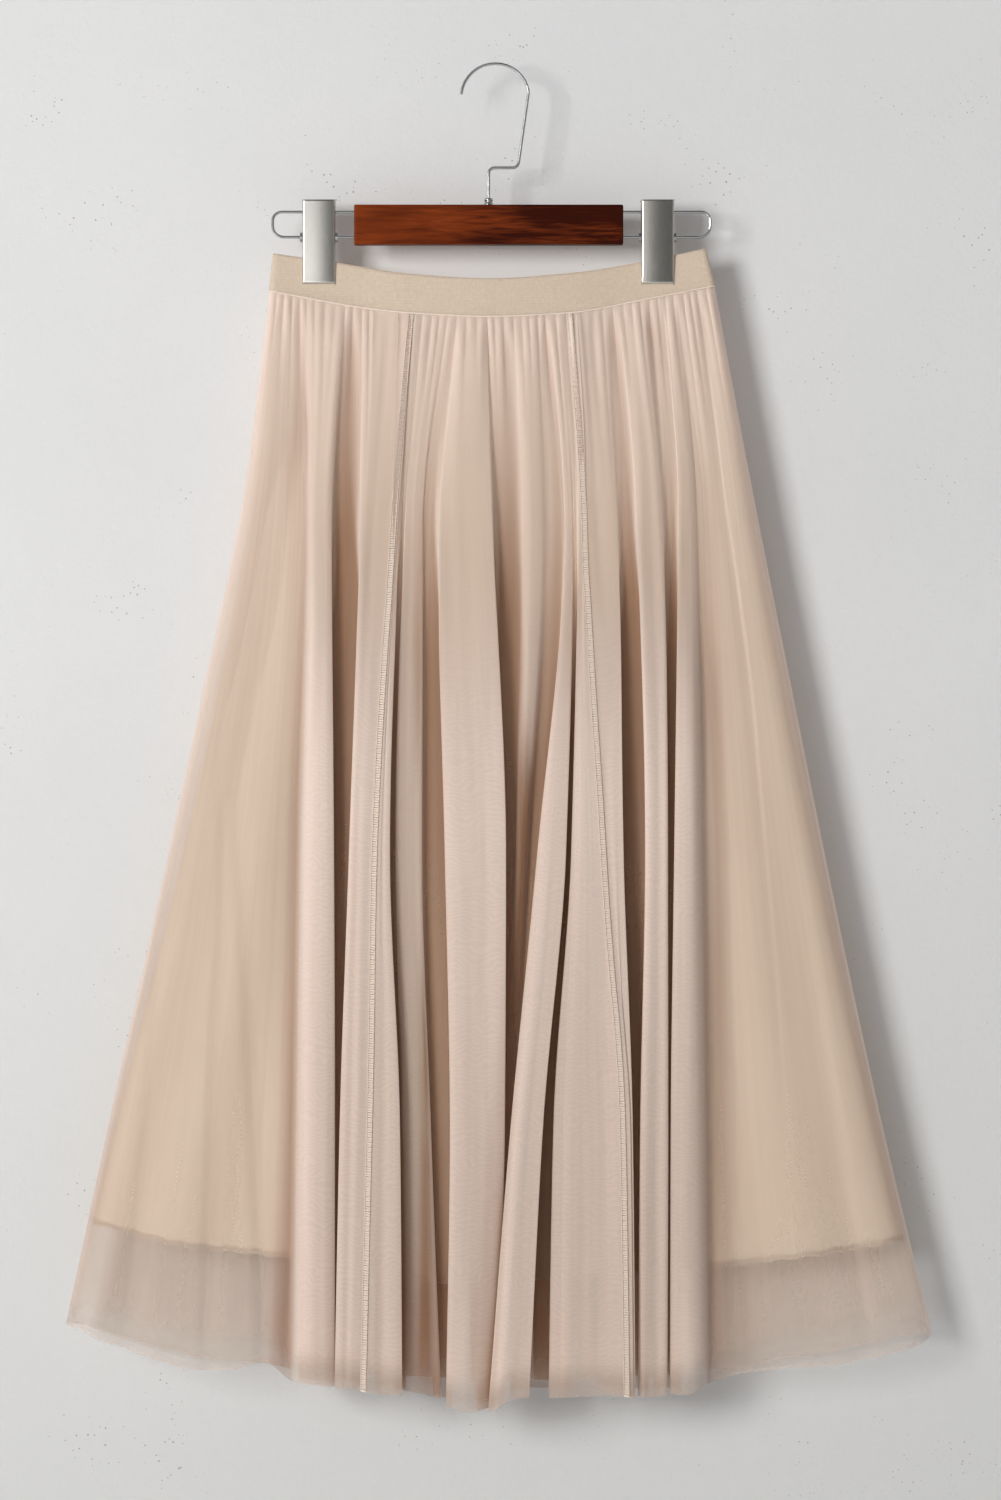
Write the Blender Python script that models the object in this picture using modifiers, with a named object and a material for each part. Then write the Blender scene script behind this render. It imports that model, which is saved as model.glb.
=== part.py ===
"""A tulle midi skirt with a satin lining, held at its elastic waistband by a wooden clip hanger.

The origin is the inside of the hook's top, where the hanger hangs. +Z is up, the skirt's front
faces -Y and +X is the viewer's right. Sizes and tables are in millimetres, x from the origin,
drops downwards from it and depths outwards from the plane halfway between front and back.
"""

import math
from collections import namedtuple

import bmesh
import bpy
import numpy as np
from mathutils import Matrix

MM = 0.001
GAP = 0.3

# Waistband: a flattened loop of elastic that sags between the two clips.
BAND_WALL = 2.0
BAND_END_ROUND = 4.0
BAND_ENDS = ((-175.4, 165.1), (-178.5, 172.6))
BAND_TOP = ((-175, 149), (-126, 156), (-66, 165.5), (-5, 169), (60, 164.5), (115, 155.5), (165, 145))
BAND_FOOT = (
    (-178, 179),
    (-155, 183.5),
    (-107, 192),
    (-68, 196.5),
    (-5, 199.5),
    (58, 196.5),
    (114, 186.5),
    (173, 175),
)
BAND_DEPTH = (
    (-176, 2.4),
    (-155, 1.3),
    (-124, 1.3),
    (-70, 5.0),
    (-5, 7.0),
    (60, 5.0),
    (112, 1.3),
    (143, 1.3),
    (172, 2.4),
)
BAND_FOOT_LEAST_DEPTH = 2.6
BAND_JAW_SHARE = 0.78
BAND_COLUMNS = 19

# Tulle: outline of the sides, height shares counted from the band down to the hem.
TULLE_WALL = 1.2
SIDE_LEVELS = (0.0, 0.2, 0.4, 0.6, 0.8, 1.0)
SIDE_LEFT = (-178.5, -199.5, -233.4, -268.2, -304.5, -339.3)
SIDE_RIGHT = (172.6, 203.4, 236.2, 269.4, 304.9, 344.4)
SIDE_FACET = 1.6
SIDE_ROUND = (10.0, 25.0)
TULLE_ROWS = (0.0, 0.02, 0.05, 0.09, 0.14, 0.20, 0.28, 0.38, 0.50, 0.62, 0.75, 0.85, 0.93, 1.0)
SEAMS_AT_WAIST = (-64.8, 60.0)
WAIST_OFFSET = 1.9
GATHER_DEPTH = 1.2
GATHER_LENGTH = 0.16
GATHER_FADE_COLUMNS = 4
FLOOR = ((0.0, 9.0), (0.2, 11.0), (0.5, 15.0), (1.0, 20.0))
FLAT_RISE = 6.0
SPREAD_SHARE = 0.2

# Large folds of the tulle. Edges are x at each of FOLD_LEVELS, reach is the depth of the fold's
# front at the hem, tucks are the shares of its width folded under, seam is where the gore seam
# crosses it, as a share of its width at each level.
FOLD_LEVELS = (0.2, 0.5, 0.75, 1.0)
Fold = namedtuple("Fold", "left right reach tuck_left tuck_right seam", defaults=(None,))
FRONT_FOLDS = (
    Fold((-149, -156, -160, -163), (-129, -127, -126, -126), 42, 0.0, 0.75),
    Fold((-108, -115, -122, -126), (-82, -80, -75, -73), 50, 0.36, 0.36, (0.70, 0.60, 0.50, 0.44)),
    Fold((-79, -77, -75, -79), (-65, -58, -50, -43), 30, 0.30, 0.25),
    Fold((-52, -40, -36, -39), (-2, 8, 7, -1), 46, 0.10, 0.38),
    Fold((19, 16, -3, -13), (42, 28, 16, 3), 24, 0.0, 0.0),
    Fold((56, 29, 11, -6), (66, 54, 37, 28), 60, 0.34, 0.37),
    Fold((72, 59, 45, 41), (97, 100, 107, 109), 52, 0.25, 0.40, (0.30, 0.60, 0.70, 0.72)),
    Fold((118, 117, 113, 111), (134, 135, 135, 134), 44, 0.33, 0.40),
    Fold((144, 140, 137, 136), (161, 164, 167, 169), 40, 0.25, 0.0),
)
BACK_FOLDS = (
    Fold((-150, -158, -166, -172), (-128, -130, -131, -130), 34, 0.0, 0.50),
    Fold((-104, -108, -112, -116), (-80, -76, -70, -66), 38, 0.30, 0.35, (0.60, 0.55, 0.50, 0.45)),
    Fold((-52, -50, -48, -46), (-28, -22, -16, -10), 33, 0.30, 0.25),
    Fold((6, 4, 2, 0), (30, 36, 40, 44), 38, 0.35, 0.30),
    Fold((62, 66, 70, 74), (90, 98, 106, 112), 35, 0.30, 0.40, (0.40, 0.45, 0.50, 0.55)),
    Fold((118, 124, 130, 136), (140, 152, 162, 168), 37, 0.35, 0.0),
)
LEAF = (4.0, 5.0)
LEAF_MOST = 0.5
RISE_POWER = 0.8
SOFT_SIDE = (0.22, 0.62)
TUCK_RETURN = 0.85
SHOULDER = (0.14, 0.95)
TUCK_FROM_RISE = (4.0, 12.0)
TUCK_SHARES = (0.2, 0.45)
SEAM_HALF_FACET = 0.12
FLAT_COLUMNS = (12, 11)

# Soft troughs in the flat stretches beside the folds: x and depth at each of FOLD_LEVELS.
Trough = namedtuple("Trough", "x depth half_width")
FRONT_TROUGHS = (
    Trough((-150, -242, -290, -315), (2.5, 5.0, 3.0, 1.0), 26),
    Trough((184, 218, 240, 255), (3.0, 5.0, 4.0, 2.0), 20),
)
BACK_TROUGHS = (
    Trough((-165, -215, -245, -262), (2.5, 4.5, 4.0, 2.0), 24),
    Trough((176, 236, 280, 305), (2.5, 4.5, 3.0, 1.0), 26),
)
FRONT_HEM = (
    (-339, 993),
    (-317, 1000),
    (-288, 1010),
    (-250, 1023),
    (-205, 1026),
    (-182, 1021),
    (-160, 1034),
    (-120, 1035),
    (-75, 1040),
    (-20, 1053),
    (-2, 1051),
    (10, 1041),
    (60, 1040),
    (135, 1042),
    (168, 1038),
    (182, 1030),
    (271, 1021),
    (321, 1010),
    (344, 1000),
)
BACK_HEM = ((-339, 993), (-250, 1019), (-120, 1033), (0, 1040), (120, 1036), (230, 1024), (344, 1000))

# Satin lining: shorter, inside the tulle all round.
LINING_WALL = 1.0
LINING_ROWS = (0.0, 0.05, 0.12, 0.22, 0.40, 0.60, 0.80, 1.0)
LINING_COLUMNS = 36
LINING_LENGTH_SHARE = 0.9
LINING_INSET_LEFT = ((0.0, 2.6), (0.5, 12.0), (1.0, 2.8))
LINING_INSET_RIGHT = ((0.0, 2.6), (0.5, 5.5), (1.0, 2.6))
LINING_WAIST_OFFSET = 1.2
LINING_FLOOR = ((0.0, 5.5), (0.22, 6.0), (0.55, 9.0), (1.0, 12.0))
LINING_FACET = 0.8
LINING_FOLDS = 7
LINING_FOLD_DEPTH = 3.0
LINING_FOLD_UNEVEN = 0.3
LINING_BACK_TURN = 0.4
LINING_HEM = ((-322, 914), (-312, 917), (-250, 932), (-167, 941), (-55, 961), (153, 950), (240, 941), (323, 928))

# Hanger: wooden bar, wire hook, wire end loops and two spring clips.
BAR_X = (-112.0, 100.5)
BAR_DROP = (110.6, 142.2)
BAR_THICK = 12.0
BAR_ROUND = 1.2
WIRE_RADIUS = 1.2
SOCKET_RADIUS = WIRE_RADIUS + GAP
SOCKET_DEPTH = 16.0
WIRE_DROPS = (116.0, 135.9)
LOOP_ENDS = (-176.5, 169.4)
LOOP_ROUNDS = (7.0, 9.0)
STEM_X = -5.8
HOOK_RADIUS = 26.1
HOOK_TIP_SPREAD = 1.5
HOOK_OFFSET_DROP = 81.0
HOOK_OFFSET_X = 17.4
HOOK_BENDS = (4.5, 5.0)
HOOK_ARC = (8, 176)
HOOK_ARC_POINTS = 17
FERRULE_RADIUS = 3.8
FERRULE_HEIGHT = 5.3
CLIP_X = (-139.8, 127.6)
CLIP_WIDTH = 26.0
CLIP_SHEET = 1.0
CLIP_DROPS = (106.7, 173.0)
CLIP_TOP_DEPTH = 9.2
CLIP_LIP_DEPTH = 3.9
CLIP_EDGE_DEPTH = 2.6
CLIP_LIP_HEIGHT = 3.0
CLIP_TOP_EDGE = (4.7, 10.0)
SPRING_RADIUS = 4.0
SPRING_LENGTH = 29.5
SIDES = 16


def clear_scene():
    for thing in list(bpy.data.objects):
        bpy.data.objects.remove(thing, do_unlink=True)


def new_collection(name):
    group = bpy.data.collections.new(name)
    bpy.context.scene.collection.children.link(group)
    return group


def material(name, colour, roughness, metallic=0.0):
    made = bpy.data.materials.new(name)
    made.use_nodes = True
    shader = made.node_tree.nodes["Principled BSDF"]
    shader.inputs["Base Color"].default_value = (*colour, 1)
    shader.inputs["Roughness"].default_value = roughness
    shader.inputs["Metallic"].default_value = metallic
    return made


def through(points, at):
    """The value at `at` of a smooth curve through (place, value) points, with no overshoot."""
    places, values = np.array(points, float).T
    steps = np.diff(places)
    slopes = np.diff(values) / steps
    before, after = slopes[:-1], slopes[1:]
    agree = before * after > 0
    total = np.where(agree, before + after, 1)
    tangents = np.concatenate(([slopes[0]], np.where(agree, 2 * before * after / total, 0), [slopes[-1]]))
    i = int(np.clip(np.searchsorted(places, at) - 1, 0, len(steps) - 1))
    t = float(np.clip((at - places[i]) / steps[i], 0, 1))
    return (
        values[i] * (1 + 2 * t) * (1 - t) ** 2
        + values[i + 1] * t * t * (3 - 2 * t)
        + steps[i] * t * (1 - t) * (tangents[i] * (1 - t) - tangents[i + 1] * t)
    )


def smooth_step(share):
    share = min(max(share, 0.0), 1.0)
    return share * share * (3 - 2 * share)


def between(first, second, share):
    return first + (second - first) * share


def at_level(values, v):
    return through(tuple(zip(FOLD_LEVELS, values)), v)


def side_x(values, v):
    return through(tuple(zip(SIDE_LEVELS, values)), v)


def foot_depth(x):
    """Half the depth of the waistband's lower edge at x."""
    return max(through(BAND_DEPTH, x), BAND_FOOT_LEAST_DEPTH)


def quarter_round(share):
    """Height of a quarter circle of radius 1 at this share of the way in from its foot."""
    share = min(max(share, 0.0), 1.0)
    return math.sqrt(1 - (1 - share) ** 2)


def side_rounding(distance, v):
    """Share of its full depth that a panel has at this distance from its side edge."""
    return quarter_round(distance / (SIDE_ROUND[0] + SIDE_ROUND[1] * v))


def wall(name, grid, thickness, look, group, closed=False):
    """A cloth wall of even thickness through a grid of points, rows downwards, columns across."""
    rows, columns = grid.shape[:2]
    shape = bmesh.new()
    points = [[shape.verts.new(point * MM) for point in row] for row in grid]
    for i in range(rows - 1):
        for j in range(columns if closed else columns - 1):
            k = (j + 1) % columns
            shape.faces.new((points[i][j], points[i + 1][j], points[i + 1][k], points[i][k]))
    mesh = bpy.data.meshes.new(name)
    shape.to_mesh(mesh)
    shape.free()
    mesh.materials.append(look)
    mesh.shade_smooth()
    made = bpy.data.objects.new(name, mesh)
    group.objects.link(made)
    solid = made.modifiers.new("wall", "SOLIDIFY")
    solid.thickness = thickness * MM
    solid.offset = 0
    return made


def waistband(group):
    """The elastic loop: pinched flat in the clips' jaws, open between them."""
    look = material("elastic", (0.62, 0.50, 0.40), 0.8)
    width = BAND_ENDS[1][1] - BAND_ENDS[1][0]
    inset = BAND_END_ROUND / width
    turn = [0.0, 0.3 * inset, inset]
    middle = np.linspace(0, 1, BAND_COLUMNS + 2)[1:-1]
    shares = [*turn, *middle, *(1 - share for share in turn[::-1])]
    rows = []
    for v in (0.0, BAND_JAW_SHARE, 1.0):
        ends = [between(BAND_ENDS[0][k], BAND_ENDS[1][k], v) for k in (0, 1)]
        front = []
        for share in shares:
            x = between(*ends, share)
            drop = between(through(BAND_TOP, x), through(BAND_FOOT, x), v)
            opened = max((v - BAND_JAW_SHARE) / (1 - BAND_JAW_SHARE), 0)
            full = between(through(BAND_DEPTH, x), foot_depth(x), opened)
            end = quarter_round(min(x - ends[0], ends[1] - x) / BAND_END_ROUND)
            front.append((x, full * end, drop))
        ring = [(x, -depth, -drop) for x, depth, drop in front]
        ring += [(x, depth, -drop) for x, depth, drop in front[-2:0:-1]]
        rows.append(ring)
    wall("waistband", np.array(rows), BAND_WALL, look, group, closed=True)


def fold_points(fold, v):
    """(x, rise) across one fold at height share v: left foot, round the front, right foot."""
    left = at_level(fold.left, v)
    right = at_level(fold.right, v)
    width = right - left
    rise = (fold.reach - FLOOR[-1][1]) * v**RISE_POWER
    leaf = min(between(LEAF[0], sum(LEAF), v), LEAF_MOST * rise)
    least, most = TUCK_FROM_RISE
    started = (v - TUCK_SHARES[0]) / (TUCK_SHARES[1] - TUCK_SHARES[0])
    grown = smooth_step(started) * min(max((rise - least) / (most - least), 0), 1)

    def side(edge, inward, tuck):
        if not tuck:
            return [(edge, 0), (edge + inward * SOFT_SIDE[0] * width, SOFT_SIDE[1] * rise)]
        under = inward * tuck * grown * width
        return [
            (edge + under, 0),
            (edge + TUCK_RETURN * under, rise - leaf),
            (edge, rise - leaf / 2),
            (edge + inward * SHOULDER[0] * width, SHOULDER[1] * rise),
        ]

    if fold.seam:
        share = at_level(fold.seam, v)
        front = [
            (left + (share - SEAM_HALF_FACET) * width, rise),
            (left + (share + SEAM_HALF_FACET) * width, rise),
        ]
    else:
        front = [((left + right) / 2, rise)]
    return side(left, 1, fold.tuck_left) + front + side(right, -1, fold.tuck_right)[::-1]


def flat_points(side, foot, v, count, troughs):
    """(x, rise) across the flat stretch from the side edge to just before a fold's foot."""
    points = []
    for x in np.linspace(side, foot, count + 1)[:-1]:
        dips = [
            at_level(trough.depth, v) * math.exp(-(((x - at_level(trough.x, v)) / trough.half_width) ** 2))
            for trough in troughs
        ]
        points.append((x, (FLAT_RISE * v) - sum(dips) * smooth_step(v / SPREAD_SHARE)))
    return points


def tulle_section(v, folds, troughs):
    """(x, rise) of every column line of the front or back at height share v, before the gathers."""
    lines = [fold_points(fold, v) for fold in folds]
    left = side_x(SIDE_LEFT, v)
    right = side_x(SIDE_RIGHT, v)
    section = flat_points(left, lines[0][0][0], v, FLAT_COLUMNS[0], troughs)
    for line, following in zip(lines, lines[1:] + [None]):
        section += line
        if following:
            section.append(((line[-1][0] + following[0][0]) / 2, 0))
    section += flat_points(right, lines[-1][-1][0], v, FLAT_COLUMNS[1], troughs)[::-1]
    return section


def seam_columns(folds):
    """Index of the last column line before each gore seam."""
    found = []
    index = FLAT_COLUMNS[0]
    for fold in folds:
        before_front = 4 if fold.tuck_left else 2
        if fold.seam:
            found.append(index + before_front)
        index += before_front + (2 if fold.seam else 1) + (4 if fold.tuck_right else 2) + 1
    return found


def waist_shares(cuts, columns):
    """Share of the waist's width at each column line: even in each gore, as the gathers are."""
    width = SIDE_RIGHT[0] - SIDE_LEFT[0]
    seams = [(x - SIDE_LEFT[0]) / width for x in SEAMS_AT_WAIST]
    starts = (0.0, *seams)
    ends = (*seams, 1.0)
    firsts = [0] + [cut + 1 for cut in cuts]
    lasts = cuts + [columns - 1]
    places = []
    for start, end, first, last in zip(starts, ends, firsts, lasts):
        count = last - first + 1
        shares = (np.arange(count) + 0.5) / count
        if first == 0:
            shares = np.arange(count) / (count - 0.5)
        if last == columns - 1:
            shares = (np.arange(count) + 0.5) / (count - 0.5)
        places += list(between(start, end, shares))
    return places


def tulle(side, toward, folds, troughs, hem, look, group):
    """The three gores of one side of the tulle. toward is -1 for the front and 1 for the back."""
    cuts = seam_columns(folds)
    sections = [tulle_section(v, folds, troughs) for v in TULLE_ROWS]
    columns = len(sections[0])
    gathered = waist_shares(cuts, columns)
    waist = [between(SIDE_LEFT[0], SIDE_RIGHT[0], share) for share in gathered]
    tops = [through(BAND_FOOT, x) + GAP for x in waist]
    hems = [through(hem, x) for x, rise in sections[-1]]
    rows = []
    for v, section in zip(TULLE_ROWS, sections):
        spread = smooth_step(v / SPREAD_SHARE)
        gather = GATHER_DEPTH * max(1 - v / GATHER_LENGTH, 0) ** 2
        left = side_x(SIDE_LEFT, v)
        right = side_x(SIDE_RIGHT, v)
        row = []
        for j, (x, rise) in enumerate(section):
            place = between(between(left, right, gathered[j]), x, spread)
            floor = between(foot_depth(waist[j]) + WAIST_OFFSET, through(FLOOR, v), spread)
            from_side = min(j, columns - 1 - j)
            pleat = gather * (-1) ** j * min(from_side / GATHER_FADE_COLUMNS, 1)
            rounding = side_rounding(min(place - left, right - place), v)
            depth = between(SIDE_FACET, floor + rise + pleat, rounding)
            row.append((place, toward * depth, -between(tops[j], hems[j], v)))
        rows.append(row)
    grid = np.array(rows)
    sides = grid[:, [0, -1]].copy()
    sides[:, :, 1] = toward * GAP / 2
    bounds = [0] + [cut + 1 for cut in cuts] + [columns]
    for k, place in enumerate(("left", "centre", "right")):
        piece = [grid[:, bounds[k] : bounds[k + 1]]]
        if k == 0:
            piece.insert(0, sides[:, :1])
        else:
            piece.insert(0, seam_edge(grid, bounds[k], 1))
        if k == 2:
            piece.append(sides[:, 1:])
        else:
            piece.append(seam_edge(grid, bounds[k + 1], -1))
        wall(f"tulle_{side}_{place}", np.concatenate(piece, axis=1), TULLE_WALL, look, group)


def seam_edge(grid, column, way):
    """The cut edge in the middle of the facet before this column, on its right (1) or left (-1)."""
    before = grid[:, column - 1]
    after = grid[:, column]
    run = after - before
    run /= np.linalg.norm(run, axis=1)[:, None]
    return ((before + after) / 2 + way * run * GAP / 2)[:, None]


def lining(side, toward, turn, look, group):
    """One panel of the satin lining, in soft folds that fade out towards the waist."""
    rows = []
    for v in LINING_ROWS:
        at = v * LINING_LENGTH_SHARE
        left = side_x(SIDE_LEFT, at) + through(LINING_INSET_LEFT, v)
        right = side_x(SIDE_RIGHT, at) - through(LINING_INSET_RIGHT, v)
        spread = smooth_step(v / SPREAD_SHARE)
        row = [(left, toward * GAP / 2, 0.0)]
        for j in range(LINING_COLUMNS + 1):
            share = j / LINING_COLUMNS
            x = between(left, right, share)
            at_waist = between(SIDE_LEFT[0] + 2.6, SIDE_RIGHT[0] - 2.6, share)
            floor = between(foot_depth(at_waist) - LINING_WAIST_OFFSET, through(LINING_FLOOR, v), spread)
            beat = LINING_FOLDS * share + LINING_FOLD_UNEVEN * math.sin(2 * math.pi * share) + turn
            wave = LINING_FOLD_DEPTH * v * math.cos(2 * math.pi * beat)
            facet = min(LINING_FACET, floor)
            depth = between(facet, floor + wave, side_rounding(min(x - left, right - x), v))
            at_hem = between(LINING_HEM[0][0], LINING_HEM[-1][0], share)
            drop = between(through(BAND_FOOT, at_waist) + GAP, through(LINING_HEM, at_hem), v)
            row.append((x, toward * depth, -drop))
        row.append((right, toward * GAP / 2, row[-1][2]))
        row[0] = (left, toward * GAP / 2, row[1][2])
        rows.append(row)
    wall(f"lining_{side}", np.array(rows), LINING_WALL, look, group)


def tube(name, route, radius, look, group):
    """A bent wire along (x, drop) points in the plane of the hanger."""
    curve = bpy.data.curves.new(name, "CURVE")
    curve.dimensions = "3D"
    curve.bevel_depth = radius * MM
    curve.bevel_resolution = 2
    curve.use_fill_caps = True
    spline = curve.splines.new("POLY")
    spline.points.add(len(route) - 1)
    for point, (x, drop) in zip(spline.points, route):
        point.co = (x * MM, 0, -drop * MM, 1)
    curve.materials.append(look)
    made = bpy.data.objects.new(name, curve)
    group.objects.link(made)
    return made


def rounded(corners, steps=5):
    """A route through (x, drop, radius) corners, each turned by an arc that touches its runs."""
    route = [np.array(corners[0][:2], float)]
    for before, (x, drop, radius), after in zip(corners, corners[1:-1], corners[2:]):
        corner = np.array((x, drop))
        into = np.array(before[:2]) - corner
        out = np.array(after[:2]) - corner
        into /= np.linalg.norm(into)
        out /= np.linalg.norm(out)
        half = math.acos(float(np.clip(into @ out, -1, 1))) / 2
        centre = corner + (into + out) / np.linalg.norm(into + out) * radius / math.sin(half)
        start = corner + into * radius / math.tan(half) - centre
        end = corner + out * radius / math.tan(half) - centre
        turn = math.pi - 2 * half
        for k in range(steps + 1):
            a, b = math.sin((1 - k / steps) * turn), math.sin(k / steps * turn)
            route.append(centre + (start * a + end * b) / math.sin(turn))
    route.append(np.array(corners[-1][:2], float))
    return route


def hook(look, group):
    """Stem up out of the bar, a sideways step, a long rise and a round top open to the left."""
    centre_drop = HOOK_RADIUS - WIRE_RADIUS
    arc = []
    for k in range(HOOK_ARC_POINTS):
        angle = math.radians(between(*HOOK_ARC, k / (HOOK_ARC_POINTS - 1)))
        radius = HOOK_RADIUS + HOOK_TIP_SPREAD * max(angle - math.pi / 2, 0) / (math.pi / 2)
        arc.append((radius * math.cos(angle), centre_drop - radius * math.sin(angle)))
    foot = BAR_DROP[0] + SOCKET_DEPTH - GAP
    corners = [
        (STEM_X, foot, 0),
        (STEM_X, HOOK_OFFSET_DROP, HOOK_BENDS[0]),
        (HOOK_OFFSET_X, HOOK_OFFSET_DROP, HOOK_BENDS[1]),
        (*arc[0], 0),
    ]
    return tube("hook", rounded(corners)[:-1] + arc, WIRE_RADIUS, look, group)


def end_loops(look, group):
    for name, bar_end, loop_end in zip(("wire_left", "wire_right"), BAR_X, LOOP_ENDS):
        inward = 1 if loop_end < 0 else -1
        inside = bar_end + inward * (SOCKET_DEPTH - GAP)
        corners = [
            (inside, WIRE_DROPS[0], 0),
            (loop_end, WIRE_DROPS[0], LOOP_ROUNDS[0]),
            (loop_end, WIRE_DROPS[1], LOOP_ROUNDS[1]),
            (inside, WIRE_DROPS[1], 0),
        ]
        tube(name, rounded(corners), WIRE_RADIUS, look, group)


def cylinder(name, radius, length, place, along, group):
    """A cylinder centred on place (x, y, drop), along the X or the Z axis."""
    shape = bmesh.new()
    bmesh.ops.create_cone(
        shape, cap_ends=True, segments=SIDES, radius1=radius * MM, radius2=radius * MM, depth=length * MM
    )
    mesh = bpy.data.meshes.new(name)
    shape.to_mesh(mesh)
    shape.free()
    made = bpy.data.objects.new(name, mesh)
    x, y, drop = place
    made.location = (x * MM, y * MM, -drop * MM)
    if along == "X":
        made.rotation_euler = (0, math.pi / 2, 0)
    group.objects.link(made)
    return made


def cut(target, cutter):
    cutter.hide_render = True
    cutter.display_type = "WIRE"
    modifier = target.modifiers.new("cut", "BOOLEAN")
    modifier.operation = "DIFFERENCE"
    modifier.object = cutter


def bar(look, group, cutters):
    """The wooden bar, with a socket for the hook in its top and two for wires in each end."""
    bpy.ops.mesh.primitive_cube_add(size=1)
    made = bpy.context.object
    made.name = "bar"
    made.scale = ((BAR_X[1] - BAR_X[0]) * MM, BAR_THICK * MM, (BAR_DROP[1] - BAR_DROP[0]) * MM)
    made.location = (sum(BAR_X) / 2 * MM, 0, -sum(BAR_DROP) / 2 * MM)
    bpy.ops.object.transform_apply(location=False, rotation=False, scale=True)
    for holder in list(made.users_collection):
        holder.objects.unlink(made)
    group.objects.link(made)
    made.data.materials.append(look)
    edges = made.modifiers.new("edges", "BEVEL")
    edges.width = BAR_ROUND * MM
    edges.segments = 2
    sockets = [((STEM_X, 0, BAR_DROP[0]), "Z")]
    sockets += [((x, 0, drop), "X") for x in BAR_X for drop in WIRE_DROPS]
    for k, (place, along) in enumerate(sockets):
        cut(made, cylinder(f"socket_{k}", SOCKET_RADIUS, 2 * SOCKET_DEPTH, place, along, cutters))


def ring(name, inner, outer, length, place, along, look, group):
    """A turned tube: a square section screwed about the Z axis, then laid along its own axis."""
    shape = bmesh.new()
    corners = ((outer, length / 2), (outer, -length / 2), (inner, -length / 2), (inner, length / 2))
    points = [shape.verts.new((r * MM, 0, z * MM)) for r, z in corners]
    for first, second in zip(points, points[1:] + points[:1]):
        shape.edges.new((first, second))
    mesh = bpy.data.meshes.new(name)
    shape.to_mesh(mesh)
    shape.free()
    mesh.materials.append(look)
    made = bpy.data.objects.new(name, mesh)
    turned = made.modifiers.new("turned", "SCREW")
    turned.steps = turned.render_steps = SIDES
    turned.use_merge_vertices = True
    turned.merge_threshold = 0.00001
    x, y, drop = place
    made.location = (x * MM, y * MM, -drop * MM)
    if along == "X":
        made.rotation_euler = (0, math.pi / 2, 0)
    group.objects.link(made)
    return made


def prism(name, outline, width, x, toward, look, group):
    """A solid of this (depth, drop) outline, width wide in x, on the front (-1) or back (1)."""
    curve = bpy.data.curves.new(name, "CURVE")
    curve.dimensions = "2D"
    curve.fill_mode = "BOTH"
    curve.extrude = width / 2 * MM
    spline = curve.splines.new("POLY")
    spline.points.add(len(outline) - 1)
    spline.use_cyclic_u = True
    for point, (depth, drop) in zip(spline.points, outline):
        point.co = (toward * depth * MM, -drop * MM, 0, 1)
    drawn = bpy.data.objects.new(name + "_outline", curve)
    group.objects.link(drawn)
    bpy.context.view_layer.update()
    mesh = bpy.data.meshes.new_from_object(drawn.evaluated_get(bpy.context.evaluated_depsgraph_get()))
    shape = bmesh.new()
    shape.from_mesh(mesh)
    bmesh.ops.remove_doubles(shape, verts=shape.verts, dist=0.00001)
    bmesh.ops.recalc_face_normals(shape, faces=shape.faces)
    shape.to_mesh(mesh)
    shape.free()
    mesh.name = name
    bpy.data.objects.remove(drawn, do_unlink=True)
    made = bpy.data.objects.new(name, mesh)
    if look:
        mesh.materials.append(look)
    made.matrix_world = Matrix(((0, 0, 1, x * MM), (1, 0, 0, 0), (0, 1, 0, 0), (0, 0, 0, 1)))
    group.objects.link(made)
    return made


def clip(name, x, look, group, cutters):
    """Two pressed channels, mirrored, that lean together at the lips, and the spring between."""
    top, lip = CLIP_DROPS
    lean = (CLIP_TOP_DEPTH - CLIP_LIP_DEPTH) / (lip - top)
    outside = [
        (CLIP_TOP_DEPTH, top),
        (CLIP_LIP_DEPTH, lip),
        (CLIP_EDGE_DEPTH, lip),
        (CLIP_EDGE_DEPTH, top + CLIP_TOP_EDGE[1]),
        (CLIP_TOP_EDGE[0], top),
    ]
    cavity_top = top + CLIP_SHEET
    cavity_foot = lip - CLIP_LIP_HEIGHT
    inside = [
        (CLIP_TOP_DEPTH - CLIP_SHEET - lean * CLIP_SHEET, cavity_top),
        (CLIP_LIP_DEPTH - CLIP_SHEET + lean * CLIP_LIP_HEIGHT, cavity_foot),
        (0, cavity_foot),
        (0, cavity_top),
    ]
    for side, toward in (("front", -1), ("back", 1)):
        plate = prism(f"clip_{name}_{side}", outside, CLIP_WIDTH, x, toward, look, group)
        hollow_width = CLIP_WIDTH - 2 * CLIP_SHEET
        cut(plate, prism(f"hollow_{name}_{side}", inside, hollow_width, x, toward, None, cutters))
        room = (x, 0, WIRE_DROPS[1])
        cut(plate, cylinder(f"room_{name}_{side}", SPRING_RADIUS + GAP, 2 * CLIP_WIDTH, room, "X", cutters))
    place = (x, 0, WIRE_DROPS[1])
    ring(f"spring_{name}", SOCKET_RADIUS, SPRING_RADIUS, SPRING_LENGTH, place, "X", look, group)


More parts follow.
